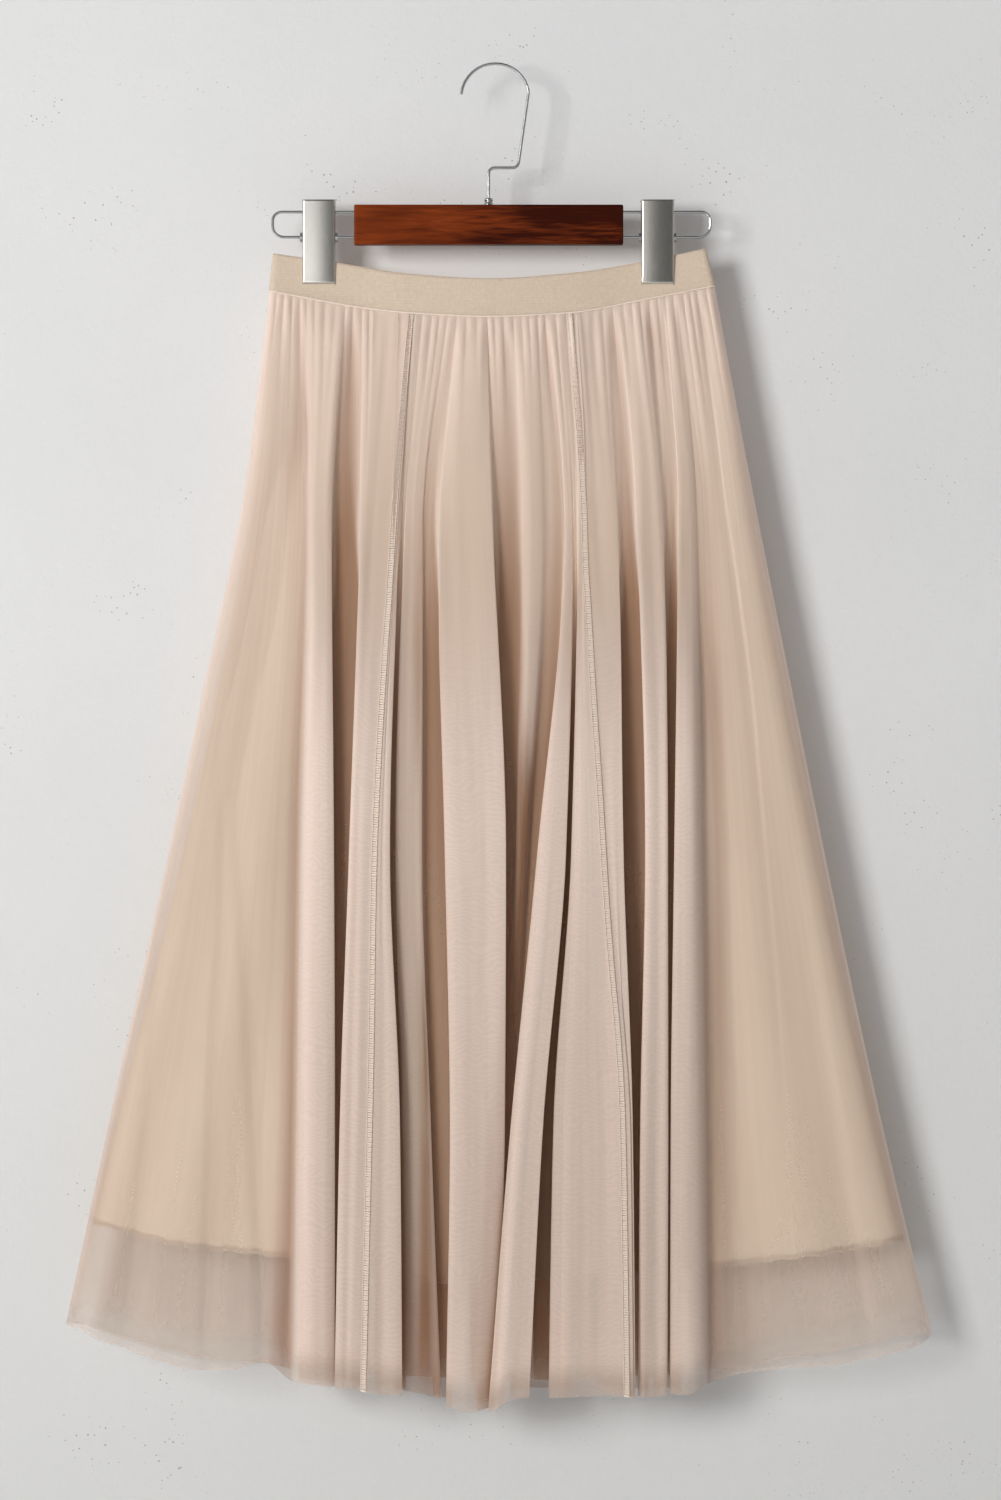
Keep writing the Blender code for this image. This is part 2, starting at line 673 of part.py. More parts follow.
def main():
    clear_scene()
    group = new_collection("tulle_skirt_on_hanger")
    cutters = new_collection("cutters")
    waistband(group)
    net = material("tulle", (0.58, 0.44, 0.36), 0.9)
    tulle("front", -1, FRONT_FOLDS, FRONT_TROUGHS, FRONT_HEM, net, group)
    tulle("back", 1, BACK_FOLDS, BACK_TROUGHS, BACK_HEM, net, group)
    satin = material("satin", (0.66, 0.54, 0.43), 0.45)
    lining("front", -1, 0.0, satin, group)
    lining("back", 1, LINING_BACK_TURN, satin, group)
    wire = material("chromed wire", (0.6, 0.6, 0.6), 0.15, 1.0)
    hook(wire, group)
    end_loops(wire, group)
    bar(material("stained wood", (0.15, 0.035, 0.012), 0.45), group, cutters)
    collar = (STEM_X, 0, BAR_DROP[0] - GAP - FERRULE_HEIGHT / 2)
    ring("ferrule", SOCKET_RADIUS, FERRULE_RADIUS, FERRULE_HEIGHT, collar, "Z", wire, group)
    steel = material("pressed steel", (0.55, 0.54, 0.52), 0.3, 1.0)
    for name, x in zip(("left", "right"), CLIP_X):
        clip(name, x, steel, group, cutters)


main()
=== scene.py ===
"""A tulle midi skirt with a satin lining, hung by its elastic waistband from a wooden clip hanger.

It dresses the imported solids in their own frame: metres, the inside of the hook's top at the
origin, +Z up, the skirt's front facing -Y. Tables are in millimetres: x from the origin, drops
downwards from it, depths outwards from the plane between the skirt's front and back.
"""

import math
import random
from collections import namedtuple

import bpy
import numpy as np
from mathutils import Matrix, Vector


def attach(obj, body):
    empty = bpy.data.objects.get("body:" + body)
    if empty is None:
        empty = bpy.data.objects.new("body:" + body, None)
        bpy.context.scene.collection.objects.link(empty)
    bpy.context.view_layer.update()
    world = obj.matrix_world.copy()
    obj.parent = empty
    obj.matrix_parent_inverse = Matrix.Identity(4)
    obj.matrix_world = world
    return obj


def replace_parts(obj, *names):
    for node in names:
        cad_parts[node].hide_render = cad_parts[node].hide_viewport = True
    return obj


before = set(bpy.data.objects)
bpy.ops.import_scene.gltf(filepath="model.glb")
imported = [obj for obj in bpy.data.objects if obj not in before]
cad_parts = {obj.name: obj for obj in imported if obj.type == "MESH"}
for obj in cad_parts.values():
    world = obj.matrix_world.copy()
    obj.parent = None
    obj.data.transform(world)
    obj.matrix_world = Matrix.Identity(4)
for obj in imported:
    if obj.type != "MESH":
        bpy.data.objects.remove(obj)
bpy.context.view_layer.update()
scene = bpy.context.scene
MM = 0.001


# The camera stands four metres straight in front of the skirt, level with its middle, and takes
# in the hanger's hook and a hand's width of backdrop under the hem.
VIEW_HEIGHT = 1185 * MM
VIEW_AWAY = 4.0
VIEW_MIDDLE = (3.6 * MM, -541 * MM)
SENSOR = 36
lens = bpy.data.cameras.new("camera")
lens.sensor_width = SENSOR
lens.lens = SENSOR * VIEW_AWAY / VIEW_HEIGHT
camera = bpy.data.objects.new("camera", lens)
camera.location = (VIEW_MIDDLE[0], -VIEW_AWAY, VIEW_MIDDLE[1])
camera.rotation_euler = (math.pi / 2, 0, 0)
scene.collection.objects.link(camera)
scene.camera = camera


# The studio: a pale painted backdrop close behind the skirt, which catches its soft shadow, a
# pale floor below, one soft light in front on the left, a weak one behind, and a soft fill that
# is strongest from the left.
BACKDROP_BEHIND = 41 * MM
FLOOR_DROP = 1330 * MM
STAGE_SIZE = 9.0


def linear(colour):
    """An sRGB hex colour as linear red, green, blue and alpha."""
    parts = [int(colour[i : i + 2], 16) / 255 for i in (1, 3, 5)]
    return (*(c / 12.92 if c <= 0.04045 else ((c + 0.055) / 1.055) ** 2.4 for c in parts), 1)


def feed(look, node, sockets):
    """Sets a node's input sockets to values, or links them to other nodes' outputs."""
    for socket, value in sockets.items():
        if isinstance(value, bpy.types.NodeSocket):
            look.node_tree.links.new(value, node.inputs[socket])
        else:
            node.inputs[socket].default_value = value


def finish(name, sockets):
    """A new material and its Principled shader, with these of its sockets set."""
    made = bpy.data.materials.new(name)
    made.use_nodes = True
    shader = made.node_tree.nodes["Principled BSDF"]
    feed(made, shader, sockets)
    return made, shader


def added(look, kind, sockets=None, **settings):
    """Adds one shader node with its settings, and sets or links its input sockets."""
    made = look.node_tree.nodes.new(kind)
    for name, value in settings.items():
        setattr(made, name, value)
    feed(look, made, sockets or {})
    return made


def stage_plane(name, corners, look):
    mesh = bpy.data.meshes.new(name)
    mesh.from_pydata(corners, [], [(0, 1, 2, 3)])
    mesh.materials.append(look)
    made = bpy.data.objects.new(name, mesh)
    scene.collection.objects.link(made)
    return made


# Emulsion paint on plaster: matt, faintly mottled, with a fine roller grain of about 3 mm.
paint, shader = finish("emulsion_on_plaster", {"Roughness": 0.9})
spot = added(paint, "ShaderNodeTexCoord").outputs["Object"]
cloudy = added(paint, "ShaderNodeTexNoise", {"Vector": spot, "Scale": 4.0, "Detail": 4.0})
grain = added(paint, "ShaderNodeTexNoise", {"Vector": spot, "Scale": 330.0, "Detail": 2.0})
mottled = added(
    paint,
    "ShaderNodeMix",
    {0: cloudy.outputs["Fac"], 6: linear("#d5d6d9"), 7: linear("#dedfe1")},
    data_type="RGBA",
)
# Painted shade: the backdrop is painted darker towards its bottom.
height = added(paint, "ShaderNodeSeparateXYZ", {0: spot})
painted_shade_by_height = added(
    paint,
    "ShaderNodeMapRange",
    {"Value": height.outputs["Z"], "From Min": -1.25, "From Max": -0.45},
)
tone = added(
    paint,
    "ShaderNodeMix",
    {0: painted_shade_by_height.outputs["Result"], 6: linear("#cecfd0"), 7: mottled.outputs[2]},
    data_type="RGBA",
)
pits = added(paint, "ShaderNodeTexVoronoi", {"Vector": spot, "Scale": 190.0})
patchy = added(paint, "ShaderNodeTexNoise", {"Vector": spot, "Scale": 17.0, "Detail": 1.0})
reach = added(
    paint,
    "ShaderNodeMapRange",
    {"Value": patchy.outputs["Fac"], "From Min": 0.46, "To Max": 0.26},
)
pitted = added(
    paint,
    "ShaderNodeMath",
    {0: pits.outputs["Distance"], 1: reach.outputs[0]},
    operation="LESS_THAN",
)
specked = added(
    paint,
    "ShaderNodeMix",
    {0: pitted.outputs[0], 6: tone.outputs[2], 7: linear("#a3a19e")},
    data_type="RGBA",
)
relief = added(
    paint,
    "ShaderNodeBump",
    {"Strength": 0.25, "Distance": 0.0012, "Height": grain.outputs["Fac"]},
)
feed(paint, shader, {"Base Color": specked.outputs[2], "Normal": relief.outputs["Normal"]})

# The backdrop is seen from its front alone, so that it doesn't hide the back of the skirt.
side = added(paint, "ShaderNodeNewGeometry")
clear = added(paint, "ShaderNodeBsdfTransparent")
one_way = added(
    paint,
    "ShaderNodeMixShader",
    {0: side.outputs["Backfacing"], 1: shader.outputs["BSDF"], 2: clear.outputs["BSDF"]},
)
feed(paint, paint.node_tree.nodes["Material Output"], {"Surface": one_way.outputs[0]})

half = STAGE_SIZE / 2
backdrop = stage_plane(
    "backdrop",
    [
        (-half, BACKDROP_BEHIND, -FLOOR_DROP),
        (half, BACKDROP_BEHIND, -FLOOR_DROP),
        (half, BACKDROP_BEHIND, half),
        (-half, BACKDROP_BEHIND, half),
    ],
    paint,
)
backdrop.visible_shadow = False
floor_paint, _ = finish("pale_floor", {"Base Color": linear("#dddddd"), "Roughness": 0.8})
floor_corners = [(x * half, y * half, -FLOOR_DROP) for x, y in ((-1, -1), (1, -1), (1, 1), (-1, 1))]
stage_plane("floor", floor_corners, floor_paint)


def soft_light(name, place, aim, size, watts, colour):
    lamp = bpy.data.lights.new(name, "AREA")
    lamp.shape = "SQUARE"
    lamp.size = size
    lamp.energy = watts
    lamp.color = linear(colour)[:3]
    made = bpy.data.objects.new(name, lamp)
    made.location = place
    made.rotation_euler = (Vector(aim) - Vector(place)).to_track_quat("-Z", "Y").to_euler()
    made.visible_camera = False
    scene.collection.objects.link(made)
    return made


soft_light("key", (-2.45, -3.9, 0.2), (0, 0, -0.5), 1.35, 148, "#fffdf9")
soft_light("back", (1.2, 3.0, 0.6), (0, 0, -0.5), 1.5, 60, "#ffffff").visible_glossy = False
# A dim card beside the camera gives the plated clips something pale to reflect on the left.
soft_light("card", (-0.62, -3.9, -0.75), (-0.1, 0, -0.14), 0.9, 3.4, "#ffffff")
world = bpy.data.worlds.new("studio")
world.use_nodes = True
around = added(world, "ShaderNodeTexCoord")
facing = added(world, "ShaderNodeSeparateXYZ", {0: around.outputs["Generated"]})
from_left = added(
    world,
    "ShaderNodeMapRange",
    {
        "Value": facing.outputs["X"],
        "From Min": -0.09,
        "From Max": 0.02,
        "To Min": 0.42,
        "To Max": 0.11,
    },
    interpolation_type="SMOOTHSTEP",
)
from_right = added(
    world,
    "ShaderNodeMapRange",
    {"Value": facing.outputs["X"], "From Min": 0.14, "From Max": 0.42, "To Max": 0.22},
    interpolation_type="SMOOTHSTEP",
)
all_round = added(
    world,
    "ShaderNodeMath",
    {0: from_left.outputs["Result"], 1: from_right.outputs["Result"]},
)
fill = world.node_tree.nodes["Background"]
feed(world, fill, {"Color": linear("#edecea"), "Strength": all_round.outputs[0]})
scene.world = world
scene.view_settings.view_transform = "Standard"


# Lining: two plain panels of polyester satin, joined at the sides, shorter than the tulle and
# seen through it. Its hem is overlocked, and it hangs in a few soft shallow folds.
WAIST_DEPTH = (
    (-176, 2.4), (-155, 1.3), (-124, 1.3), (-70, 5.0), (-5, 7.0), (60, 5.0), (112, 1.3),
    (143, 1.3), (172, 2.4),
)
WAIST_LEAST_DEPTH = 2.6
WAIST_DROP = (
    (-178, 179), (-155, 183.5), (-107, 192), (-68, 196.5), (-5, 199.5), (58, 196.5), (114, 186.5),
    (173, 175),
)
SIDE_LEVELS = (0.0, 0.2, 0.4, 0.6, 0.8, 1.0)
SIDE_LEFT = (-178.5, -199.5, -233.4, -268.2, -304.5, -339.3)
SIDE_RIGHT = (172.6, 203.4, 236.2, 269.4, 304.9, 344.4)
SIDE_ROUND = (10.0, 25.0)
SIDE_EDGE_DEPTH = 0.15
SPREAD_SHARE = 0.2
LINING_ROWS = 70
LINING_COLUMNS = 240
LINING_LENGTH_SHARE = 0.9
LINING_AT_WAIST = 2.6
LINING_INSET_LEFT = ((0.0, LINING_AT_WAIST), (0.5, 12.0), (1.0, 2.8))
LINING_INSET_RIGHT = ((0.0, LINING_AT_WAIST), (0.5, 5.5), (1.0, 2.6))
LINING_WAIST_OFFSET = 1.2
LINING_FLOOR = ((0.0, 5.5), (0.22, 6.0), (0.55, 9.0), (1.0, 12.0))
LINING_FACET = 0.8
LINING_FOLDS = 7
LINING_FOLD_DEPTH = 3.0
LINING_FOLD_UNEVEN = 0.3
LINING_BACK_TURN = 0.4
LINING_HEM = (
    (-322, 914), (-312, 917), (-250, 932), (-167, 941), (-55, 961), (153, 950), (240, 941),
    (323, 928),
)
LINING_HEM_RIPPLE = (0.7, 31.0)
HEM_STITCH = 2.4
HEM_BITE = 4.5
HEM_THREAD = 0.42


def through(points, at):
    """The value at `at` of a smooth curve through (place, value) points, with no overshoot."""
    places, values = np.array(points, float).T
    steps = np.diff(places)
    slopes = np.diff(values) / steps
    before, after = slopes[:-1], slopes[1:]
    agree = before * after > 0
    total = np.where(agree, before + after, 1)
    inner = np.where(agree, 2 * before * after / total, 0)
    tangents = np.concatenate(([slopes[0]], inner, [slopes[-1]]))
    at = np.asarray(at, float)
    i = np.clip(np.searchsorted(places, at) - 1, 0, len(steps) - 1)
    t = np.clip((at - places[i]) / steps[i], 0, 1)
    return (
        values[i] * (1 + 2 * t) * (1 - t) ** 2
        + values[i + 1] * t * t * (3 - 2 * t)
        + steps[i] * t * (1 - t) * (tangents[i] * (1 - t) - tangents[i + 1] * t)
    )


def smooth_step(share):
    share = np.clip(share, 0, 1)
    return share * share * (3 - 2 * share)


def between(first, second, share):
    return first + (second - first) * share


def side_x(values, v):
    return through(tuple(zip(SIDE_LEVELS, values)), v)


def foot_depth(x):
    """Half the depth of the waistband's lower edge at x."""
    return np.maximum(through(WAIST_DEPTH, x), WAIST_LEAST_DEPTH)


def side_rounding(distance, v):
    """Share of its full depth that a panel has at this distance from its side edge."""
    share = np.clip(distance / (SIDE_ROUND[0] + SIDE_ROUND[1] * v), 0, 1)
    return np.sqrt(1 - (1 - share) ** 2)


def across_and_down(grid):
    """Each point's distance along its row and along its column, in metres."""
    across = np.zeros(grid.shape[:2])
    across[:, 1:] = np.cumsum(np.linalg.norm(np.diff(grid, axis=1), axis=2), axis=1)
    down = np.zeros(grid.shape[:2])
    down[1:] = np.cumsum(np.linalg.norm(np.diff(grid, axis=0), axis=2), axis=0)
    return np.stack((across, down), axis=2) * MM


def surface(name, grid, look, toward, lay=None, closed=False, **measures):
    """A single sheet through a grid of points in mm, rows downwards, columns across."""
    rows, columns = grid.shape[:2]
    index = np.arange(rows * columns).reshape(rows, columns)
    if closed:
        index = np.concatenate((index, index[:, :1]), axis=1)
    faces = np.stack((index[:-1, :-1], index[1:, :-1], index[1:, 1:], index[:-1, 1:]), axis=2)
    if toward > 0:
        faces = faces[:, :, ::-1]
    faces = faces.reshape(-1, 4)
    mesh = bpy.data.meshes.new(name)
    mesh.from_pydata((grid.reshape(-1, 3) * MM).tolist(), [], faces.tolist())
    flat = (across_and_down(grid) if lay is None else lay).reshape(-1, 2)
    flat_map = mesh.uv_layers.new(name="cut")
    flat_map.data.foreach_set("uv", flat[faces.reshape(-1)].reshape(-1))
    for measure, values in measures.items():
        attribute = mesh.attributes.new(measure, "FLOAT", "POINT")
        attribute.data.foreach_set("value", np.asarray(values, float).reshape(-1))
    mesh.materials.append(look)
    mesh.shade_smooth()
    made = bpy.data.objects.new(name, mesh)
    scene.collection.objects.link(made)
    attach(made, "root")
    return made


def thread(name, points, radius, look, closed=False):
    """A round yarn or wire through points in mm."""
    drawn = bpy.data.curves.new(name, "CURVE")
    drawn.dimensions = "3D"
    drawn.bevel_depth = radius * MM
    drawn.bevel_resolution = 1
    line = drawn.splines.new("POLY")
    line.points.add(len(points) - 1)
    places = np.column_stack((np.array(points) * MM, np.ones(len(points))))
    line.points.foreach_set("co", places.reshape(-1))
    line.use_cyclic_u = closed
    drawn.materials.append(look)
    made = bpy.data.objects.new(name, drawn)
    scene.collection.objects.link(made)
    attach(made, "root")
    return made


# Woven polyester satin: smooth and close, so its folds have a soft wide sheen, with a faint
# slub. Its threads of 0.1 mm are too fine to show, so they are drawn ten times as coarse.
satin, shader = finish(
    "polyester_satin",
    {"Roughness": 0.5, "Specular IOR Level": 0.35, "Sheen Weight": 0.15, "Sheen Roughness": 0.4},
)
spot = added(satin, "ShaderNodeUVMap", uv_map="cut").outputs["UV"]
stretched = added(satin, "ShaderNodeMapping", {"Vector": spot, "Scale": (90.0, 1000.0, 1.0)})
slub = added(
    satin,
    "ShaderNodeTexNoise",
    {"Vector": stretched.outputs["Vector"], "Scale": 1.0, "Detail": 2.0},
)
soft = added(satin, "ShaderNodeTexNoise", {"Vector": spot, "Scale": 9.0, "Detail": 3.0})
tone = added(
    satin,
    "ShaderNodeMix",
    {0: soft.outputs["Fac"], 6: linear("#e2d1bd"), 7: linear("#eadbca")},
    data_type="RGBA",
)
relief = added(
    satin,
    "ShaderNodeBump",
    {"Strength": 0.12, "Distance": 0.0004, "Height": slub.outputs["Fac"]},
)
feed(satin, shader, {"Base Color": tone.outputs[2], "Normal": relief.outputs["Normal"]})


# Spun polyester thread: matt, a little warmer than the satin, two plies of 0.15 mm drawn as one.
sewing_thread, shader = finish("spun_polyester_thread", {"Roughness": 0.85})
spot = added(sewing_thread, "ShaderNodeTexCoord").outputs["Object"]
plies = added(sewing_thread, "ShaderNodeTexNoise", {"Vector": spot, "Scale": 900.0})
tone = added(
    sewing_thread,
    "ShaderNodeMix",
    {0: plies.outputs["Fac"], 6: linear("#e0cdbf"), 7: linear("#efe0d4")},
    data_type="RGBA",
)
feed(sewing_thread, shader, {"Base Color": tone.outputs[2]})


def lengths_along(line):
    """The distance along a line from its first point to each of its points."""
    return np.concatenate(([0], np.cumsum(np.linalg.norm(np.diff(line, axis=0), axis=1))))


def points_on(line, along, stations):
    """The points of a line at these distances along it."""
    return np.column_stack([np.interp(stations, along, line[:, k]) for k in range(3)])


def overlock(edge, toward):
    """The zigzag that an overlocker sews over a cut edge, from its left end to its right."""
    along = lengths_along(edge)
    count = int(along[-1] / HEM_STITCH)
    stations = np.linspace(0, along[-1], 2 * count + 1)
    points = points_on(edge, along, stations)
    points[:, 1] += toward * HEM_THREAD
    points[1::2, 2] += HEM_BITE
    return points


def lining_grid(toward, turn):
    shares = np.linspace(0, 1, LINING_COLUMNS + 1)
    rows = []
    for v in np.linspace(0, 1, LINING_ROWS + 1):
        at = v * LINING_LENGTH_SHARE
        left = side_x(SIDE_LEFT, at) + through(LINING_INSET_LEFT, v)
        right = side_x(SIDE_RIGHT, at) - through(LINING_INSET_RIGHT, v)
        x = between(left, right, shares)
        at_waist = between(SIDE_LEFT[0] + LINING_AT_WAIST, SIDE_RIGHT[0] - LINING_AT_WAIST, shares)
        spread = smooth_step(v / SPREAD_SHARE)
        floor = between(foot_depth(at_waist) - LINING_WAIST_OFFSET, through(LINING_FLOOR, v), spread)
        beat = LINING_FOLDS * shares + LINING_FOLD_UNEVEN * np.sin(2 * math.pi * shares) + turn
        wave = LINING_FOLD_DEPTH * v * np.cos(2 * math.pi * beat)
        facet = np.minimum(LINING_FACET, floor)
        depth = between(facet, floor + wave, side_rounding(np.minimum(x - left, right - x), v))
        at_hem = between(LINING_HEM[0][0], LINING_HEM[-1][0], shares)
        waver = LINING_HEM_RIPPLE[1] * 2 * math.pi * shares + 3 * np.sin(9 * shares)
        ripple = LINING_HEM_RIPPLE[0] * np.sin(waver)
        drop = between(through(WAIST_DROP, at_waist), through(LINING_HEM, at_hem) + ripple, v)
        rows.append(np.column_stack((x, toward * depth, -drop)))
    return np.array(rows)


for side, toward, turn in (("front", -1, 0.0), ("back", 1, LINING_BACK_TURN)):
    grid = lining_grid(toward, turn)
    edges = grid[:, [0, -1]].copy()
    edges[:, :, 1] = SIDE_EDGE_DEPTH * toward
    grid = np.concatenate((edges[:, :1], grid, edges[:, 1:]), axis=1)
    panel = surface(f"satin_lining_{side}", grid, satin, toward)
    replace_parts(panel, f"lining_{side}")
    zigzag = overlock(grid[-1], toward)
    stitches = thread(f"lining_hem_stitches_{side}", zigzag, HEM_THREAD, sewing_thread)


# Tulle: three gores in front and three behind, of soft polyester net, gathered into the band and
# falling in large folds. Doubled net in the folds hides the lining, single net shows it.
FLOOR = ((0, 9), (0.2, 10.5), (0.5, 15), (1, 20))
FLAT_RISE = 6.0
WAIST_OFFSET = 0.9
UNDER_BAND = 1.0
TULLE_ROWS = 130
ROWS_CLOSE_UP = 1.25
CUT_EDGE_AT = 1.0015
TULLE_FINER = 9
FOLD_LEVELS = (0.0, 0.2, 0.5, 0.75, 1.0)
Fold = namedtuple("Fold", "left right rise tuck_left tuck_right seam crisp", defaults=(None, ""))
FRONT_FOLDS = (
    Fold(
        (-151, -149, -156, -160, -163),
        (-118, -129, -127, -126, -126),
        (6, 12, 15, 18, 22),
        0.0,
        0.75,
        None,
        "right",
    ),
    Fold(
        (-109, -108, -115, -122, -126),
        (-64, -75, -83, -75, -73),
        (5, 12, 18, 25, 30),
        0.36,
        0.36,
        (0.93, 0.81, 0.63, 0.51, 0.44),
    ),
    Fold((-61, -72, -79, -75, -79), (-38, -57, -58, -51, -43), (3, 6, 7, 9, 10), 0.30, 0.25),
    Fold((-32, -46, -40, -36, -39), (-7, -2, 8, 7, -1), (7, 15, 19, 23, 26), 0.10, 0.38, None, "right"),
    Fold((12, 18, 14, -3, -13), (35, 41, 27, 16, 3), (5, 9, 7, 4, 4), 0.0, 0.0),
    Fold((41, 54, 32, 11, -6), (52, 61, 55, 37, 26), (2, 4, 20, 33, 40), 0.34, 0.37),
    Fold(
        (54, 64, 59, 45, 41),
        (89, 97, 100, 107, 109),
        (4, 9, 18, 26, 32),
        0.25,
        0.40,
        (0.16, 0.22, 0.62, 0.85, 0.88),
    ),
    Fold((95, 110, 117, 113, 111), (119, 132, 135, 135, 134), (6, 12, 16, 20, 24), 0.33, 0.40),
    Fold((131, 143, 140, 137, 136), (143, 160, 164, 167, 169), (4, 9, 13, 17, 20), 0.25, 0.0),
)
BACK_FOLDS = (
    Fold((-146, -150, -158, -166, -172), (-122, -128, -130, -131, -130), (5, 9, 11, 13, 14), 0.0, 0.50),
    Fold(
        (-100, -104, -108, -112, -116),
        (-60, -72, -76, -70, -66),
        (5, 10, 13, 16, 18),
        0.30,
        0.35,
        (0.86, 0.70, 0.55, 0.50, 0.45),
    ),
    Fold((-42, -52, -50, -48, -46), (-20, -28, -22, -16, -10), (4, 8, 10, 12, 13), 0.30, 0.25),
    Fold((8, 6, 4, 2, 0), (32, 30, 36, 40, 44), (5, 10, 13, 16, 18), 0.35, 0.30),
    Fold(
        (50, 62, 66, 70, 74),
        (84, 90, 98, 106, 112),
        (5, 9, 11, 13, 15),
        0.30,
        0.40,
        (0.30, 0.40, 0.45, 0.50, 0.55),
    ),
    Fold((112, 118, 124, 130, 136), (136, 140, 152, 162, 168), (5, 9, 12, 15, 17), 0.35, 0.0),
)
LEAF = (2.0, 2.0)
LEAF_MOST = 0.5
RISE_FROM = 0.035
SOFT_SIDE = (0.22, 0.62)
TUCK_RETURN = 0.85
SHOULDER = (0.10, 0.96)
TUCK_FROM_RISE = (4.0, 12.0)
TUCK_SHARES = (0.2, 0.48)
SOFT_SHARES = (0.05, 0.34)
SOFT_RISE = 0.52
CRISP = 0.2
SOFT_FOOT = 0.42
SOFT_LEAF = (0.45, 0.78)
SOFT_EDGE = (0.02, 0.10)
SOFT_SHOULDER = 0.28
SOFT_OUTER = 10.0
BRIDGED = 15.0
BRIDGE_RISE = 0.85
SEAM_LOW = 0.45
SEAM_HALF_FACET = 0.12
FLAT_COLUMNS = (12, 11)

# Soft troughs and creases beside the folds: (drop, x, depth) down each, and how far it reaches to
# its left and to its right.
Crease = namedtuple("Crease", "line to_left to_right")
CREASE_FADE_IN = 40
CREASE_BELOW_FLOOR = (1.0, 3.0)
FRONT_CREASES = (
    Crease(
        (
            (235, -160, 2), (280, -155, 4), (345, -172, 6), (423, -184, 7), (502, -203, 7),
            (596, -228, 6), (723, -259, 5), (786, -277, 4), (900, -300, 1),
        ),
        17,
        24,
    ),
    Crease(
        (
            (235, 150, 2), (280, 153, 4), (345, 160, 5), (423, 161, 5), (502, 172, 6),
            (596, 179, 7), (723, 181, 8), (860, 185, 9), (1000, 189, 9),
        ),
        13,
        22,
    ),
    Crease(
        (
            (200, 160, 0.5), (280, 172, 2), (345, 180, 1.6), (423, 191, 1.8), (502, 201, 1.8),
            (596, 209, 1.4), (723, 220, 1.2), (900, 232, 0),
        ),
        5,
        1.6,
    ),
    Crease(((400, -196, 0), (560, -203, 2), (700, -196, 4), (860, -188, 5.5), (1000, -182, 6)), 6, 12),
    Crease(((480, -214, 0), (640, -214, 2.5), (800, -222, 3.5), (1000, -228, 3.5)), 5, 11),
    Crease(((600, -262, 0), (760, -268, 2.5), (1000, -290, 3)), 6, 14),
    Crease(((560, 226, 0), (720, 250, 2), (1000, 292, 3)), 12, 6),
)
BACK_CREASES = (
    Crease(((235, -165, 2), (345, -172, 5), (502, -210, 6), (723, -245, 5), (900, -265, 2)), 18, 24),
    Crease(((235, 165, 2), (345, 176, 5), (502, 220, 6), (723, 262, 5), (900, 290, 2)), 22, 18),
    Crease(((640, 184, 0), (800, 190, 5), (1040, 194, 9)), 9, 11),
)
FRONT_HEM = (
    (-339, 993), (-317, 1000), (-288, 1010), (-250, 1023), (-205, 1026), (-182, 1021),
    (-160, 1034), (-120, 1035), (-75, 1040), (-20, 1053), (-2, 1051), (10, 1041), (60, 1040),
    (135, 1042), (168, 1038), (182, 1030), (271, 1021), (321, 1010), (344, 1000),
)
BACK_HEM = ((-339, 993), (-250, 1019), (-120, 1033), (0, 1040), (120, 1036), (230, 1024), (344, 1000))

# Gathers: the fine ones are drawn at random between these pitches and fade first; the deeper
# pinches, (x at the waist, depth, share of the length at which they fade), run on further.
FINE_PITCH = (5.2, 8.6)
FINE_HEIGHT = (1.2, 2.7)
FINE_FADE = (0.04, 0.12)
GATHER_FROM = 0.009
GATHER_STARTS = 0.25
RIPPLE_PITCH = (8.0, 19.0)
RIPPLE_HEIGHT = (0.2, 1.2)
RIPPLE_FROM = 0.15
RIPPLE_GROWS = (0.7, 0.5)
PINCH_WIDTH = 3.0
PINCHED_SWELL = (3.6, 0.14)
FRONT_PINCHES = (
    (-167, 2.6, 0.06), (-155, 3.2, 0.13), (-136, 2.0, 0.05), (-113, 4.0, 0.16), (-94, 2.2, 0.06),
    (-83, 3.2, 0.11), (-72, 2.4, 0.06), (-50, 2.0, 0.07), (-41, 2.2, 0.10), (-32, 3.2, 0.14),
    (-20, 2.0, 0.06), (-8, 4.0, 0.14), (9, 3.4, 0.11), (20, 2.2, 0.05), (38, 3.6, 0.14),
    (52, 2.4, 0.09), (75, 3.0, 0.09), (91, 3.8, 0.14), (103, 2.6, 0.09), (121, 4.0, 0.14),
    (130, 3.0, 0.10), (142, 2.6, 0.12), (160, 3.0, 0.13),
)
BACK_PINCHES = (
    (-160, 2.8, 0.10), (-146, 2.4, 0.07), (-121, 3.6, 0.14), (-100, 2.8, 0.10), (-78, 2.2, 0.06),
    (-58, 3.4, 0.13), (-42, 2.6, 0.09), (-18, 3.6, 0.14), (8, 3.0, 0.12), (22, 2.0, 0.05),
    (33, 3.4, 0.13), (50, 2.6, 0.08), (84, 3.6, 0.14), (98, 2.2, 0.07), (112, 3.2, 0.12),
    (138, 3.4, 0.13), (156, 2.6, 0.09),
)
SINGLE_COVER = 0.37
# How far the net lies sunk below its neighbours sets the shade painted into the hollows between folds,
# and how much denser the net is made there.
SUNK_REACH = 10
SUNK_LEAST = 1.5
SUNK_MOST = 12.0
SUNK_DENSE = 0.5
SUNK_SMOOTH = 10
SUNK_STEP = 2.0
SUNK_HIGHER_SIDE = 0.35
TUCK_SOFT = 3.0
FOLD_EDGE = 1.5
TUCK_DENSE = 1.7
FOLD_DENSE = 1.6
SEAM_HALF = 2.1
SEAM_LIFT = 0.35
SEAM_LOOK = 12
SEAM_RUNGS = 440
SEAM_STITCH = 1.9
SEAM_THREAD = 0.3
BUNCHED = ((0, 3.0), (0.2, 1.9), (0.45, 1.4), (0.75, 1.1), (1, 1.0))
CUT_EDGE_COVER = 0.4
LEAST_FACING = 0.3
RIM_FACING = (0.8, 0.6)
HEM_SAG = 0.12
HEM_WAVE = (1.3, 47.0)
HEM_THINS = (0.965, 0.55)


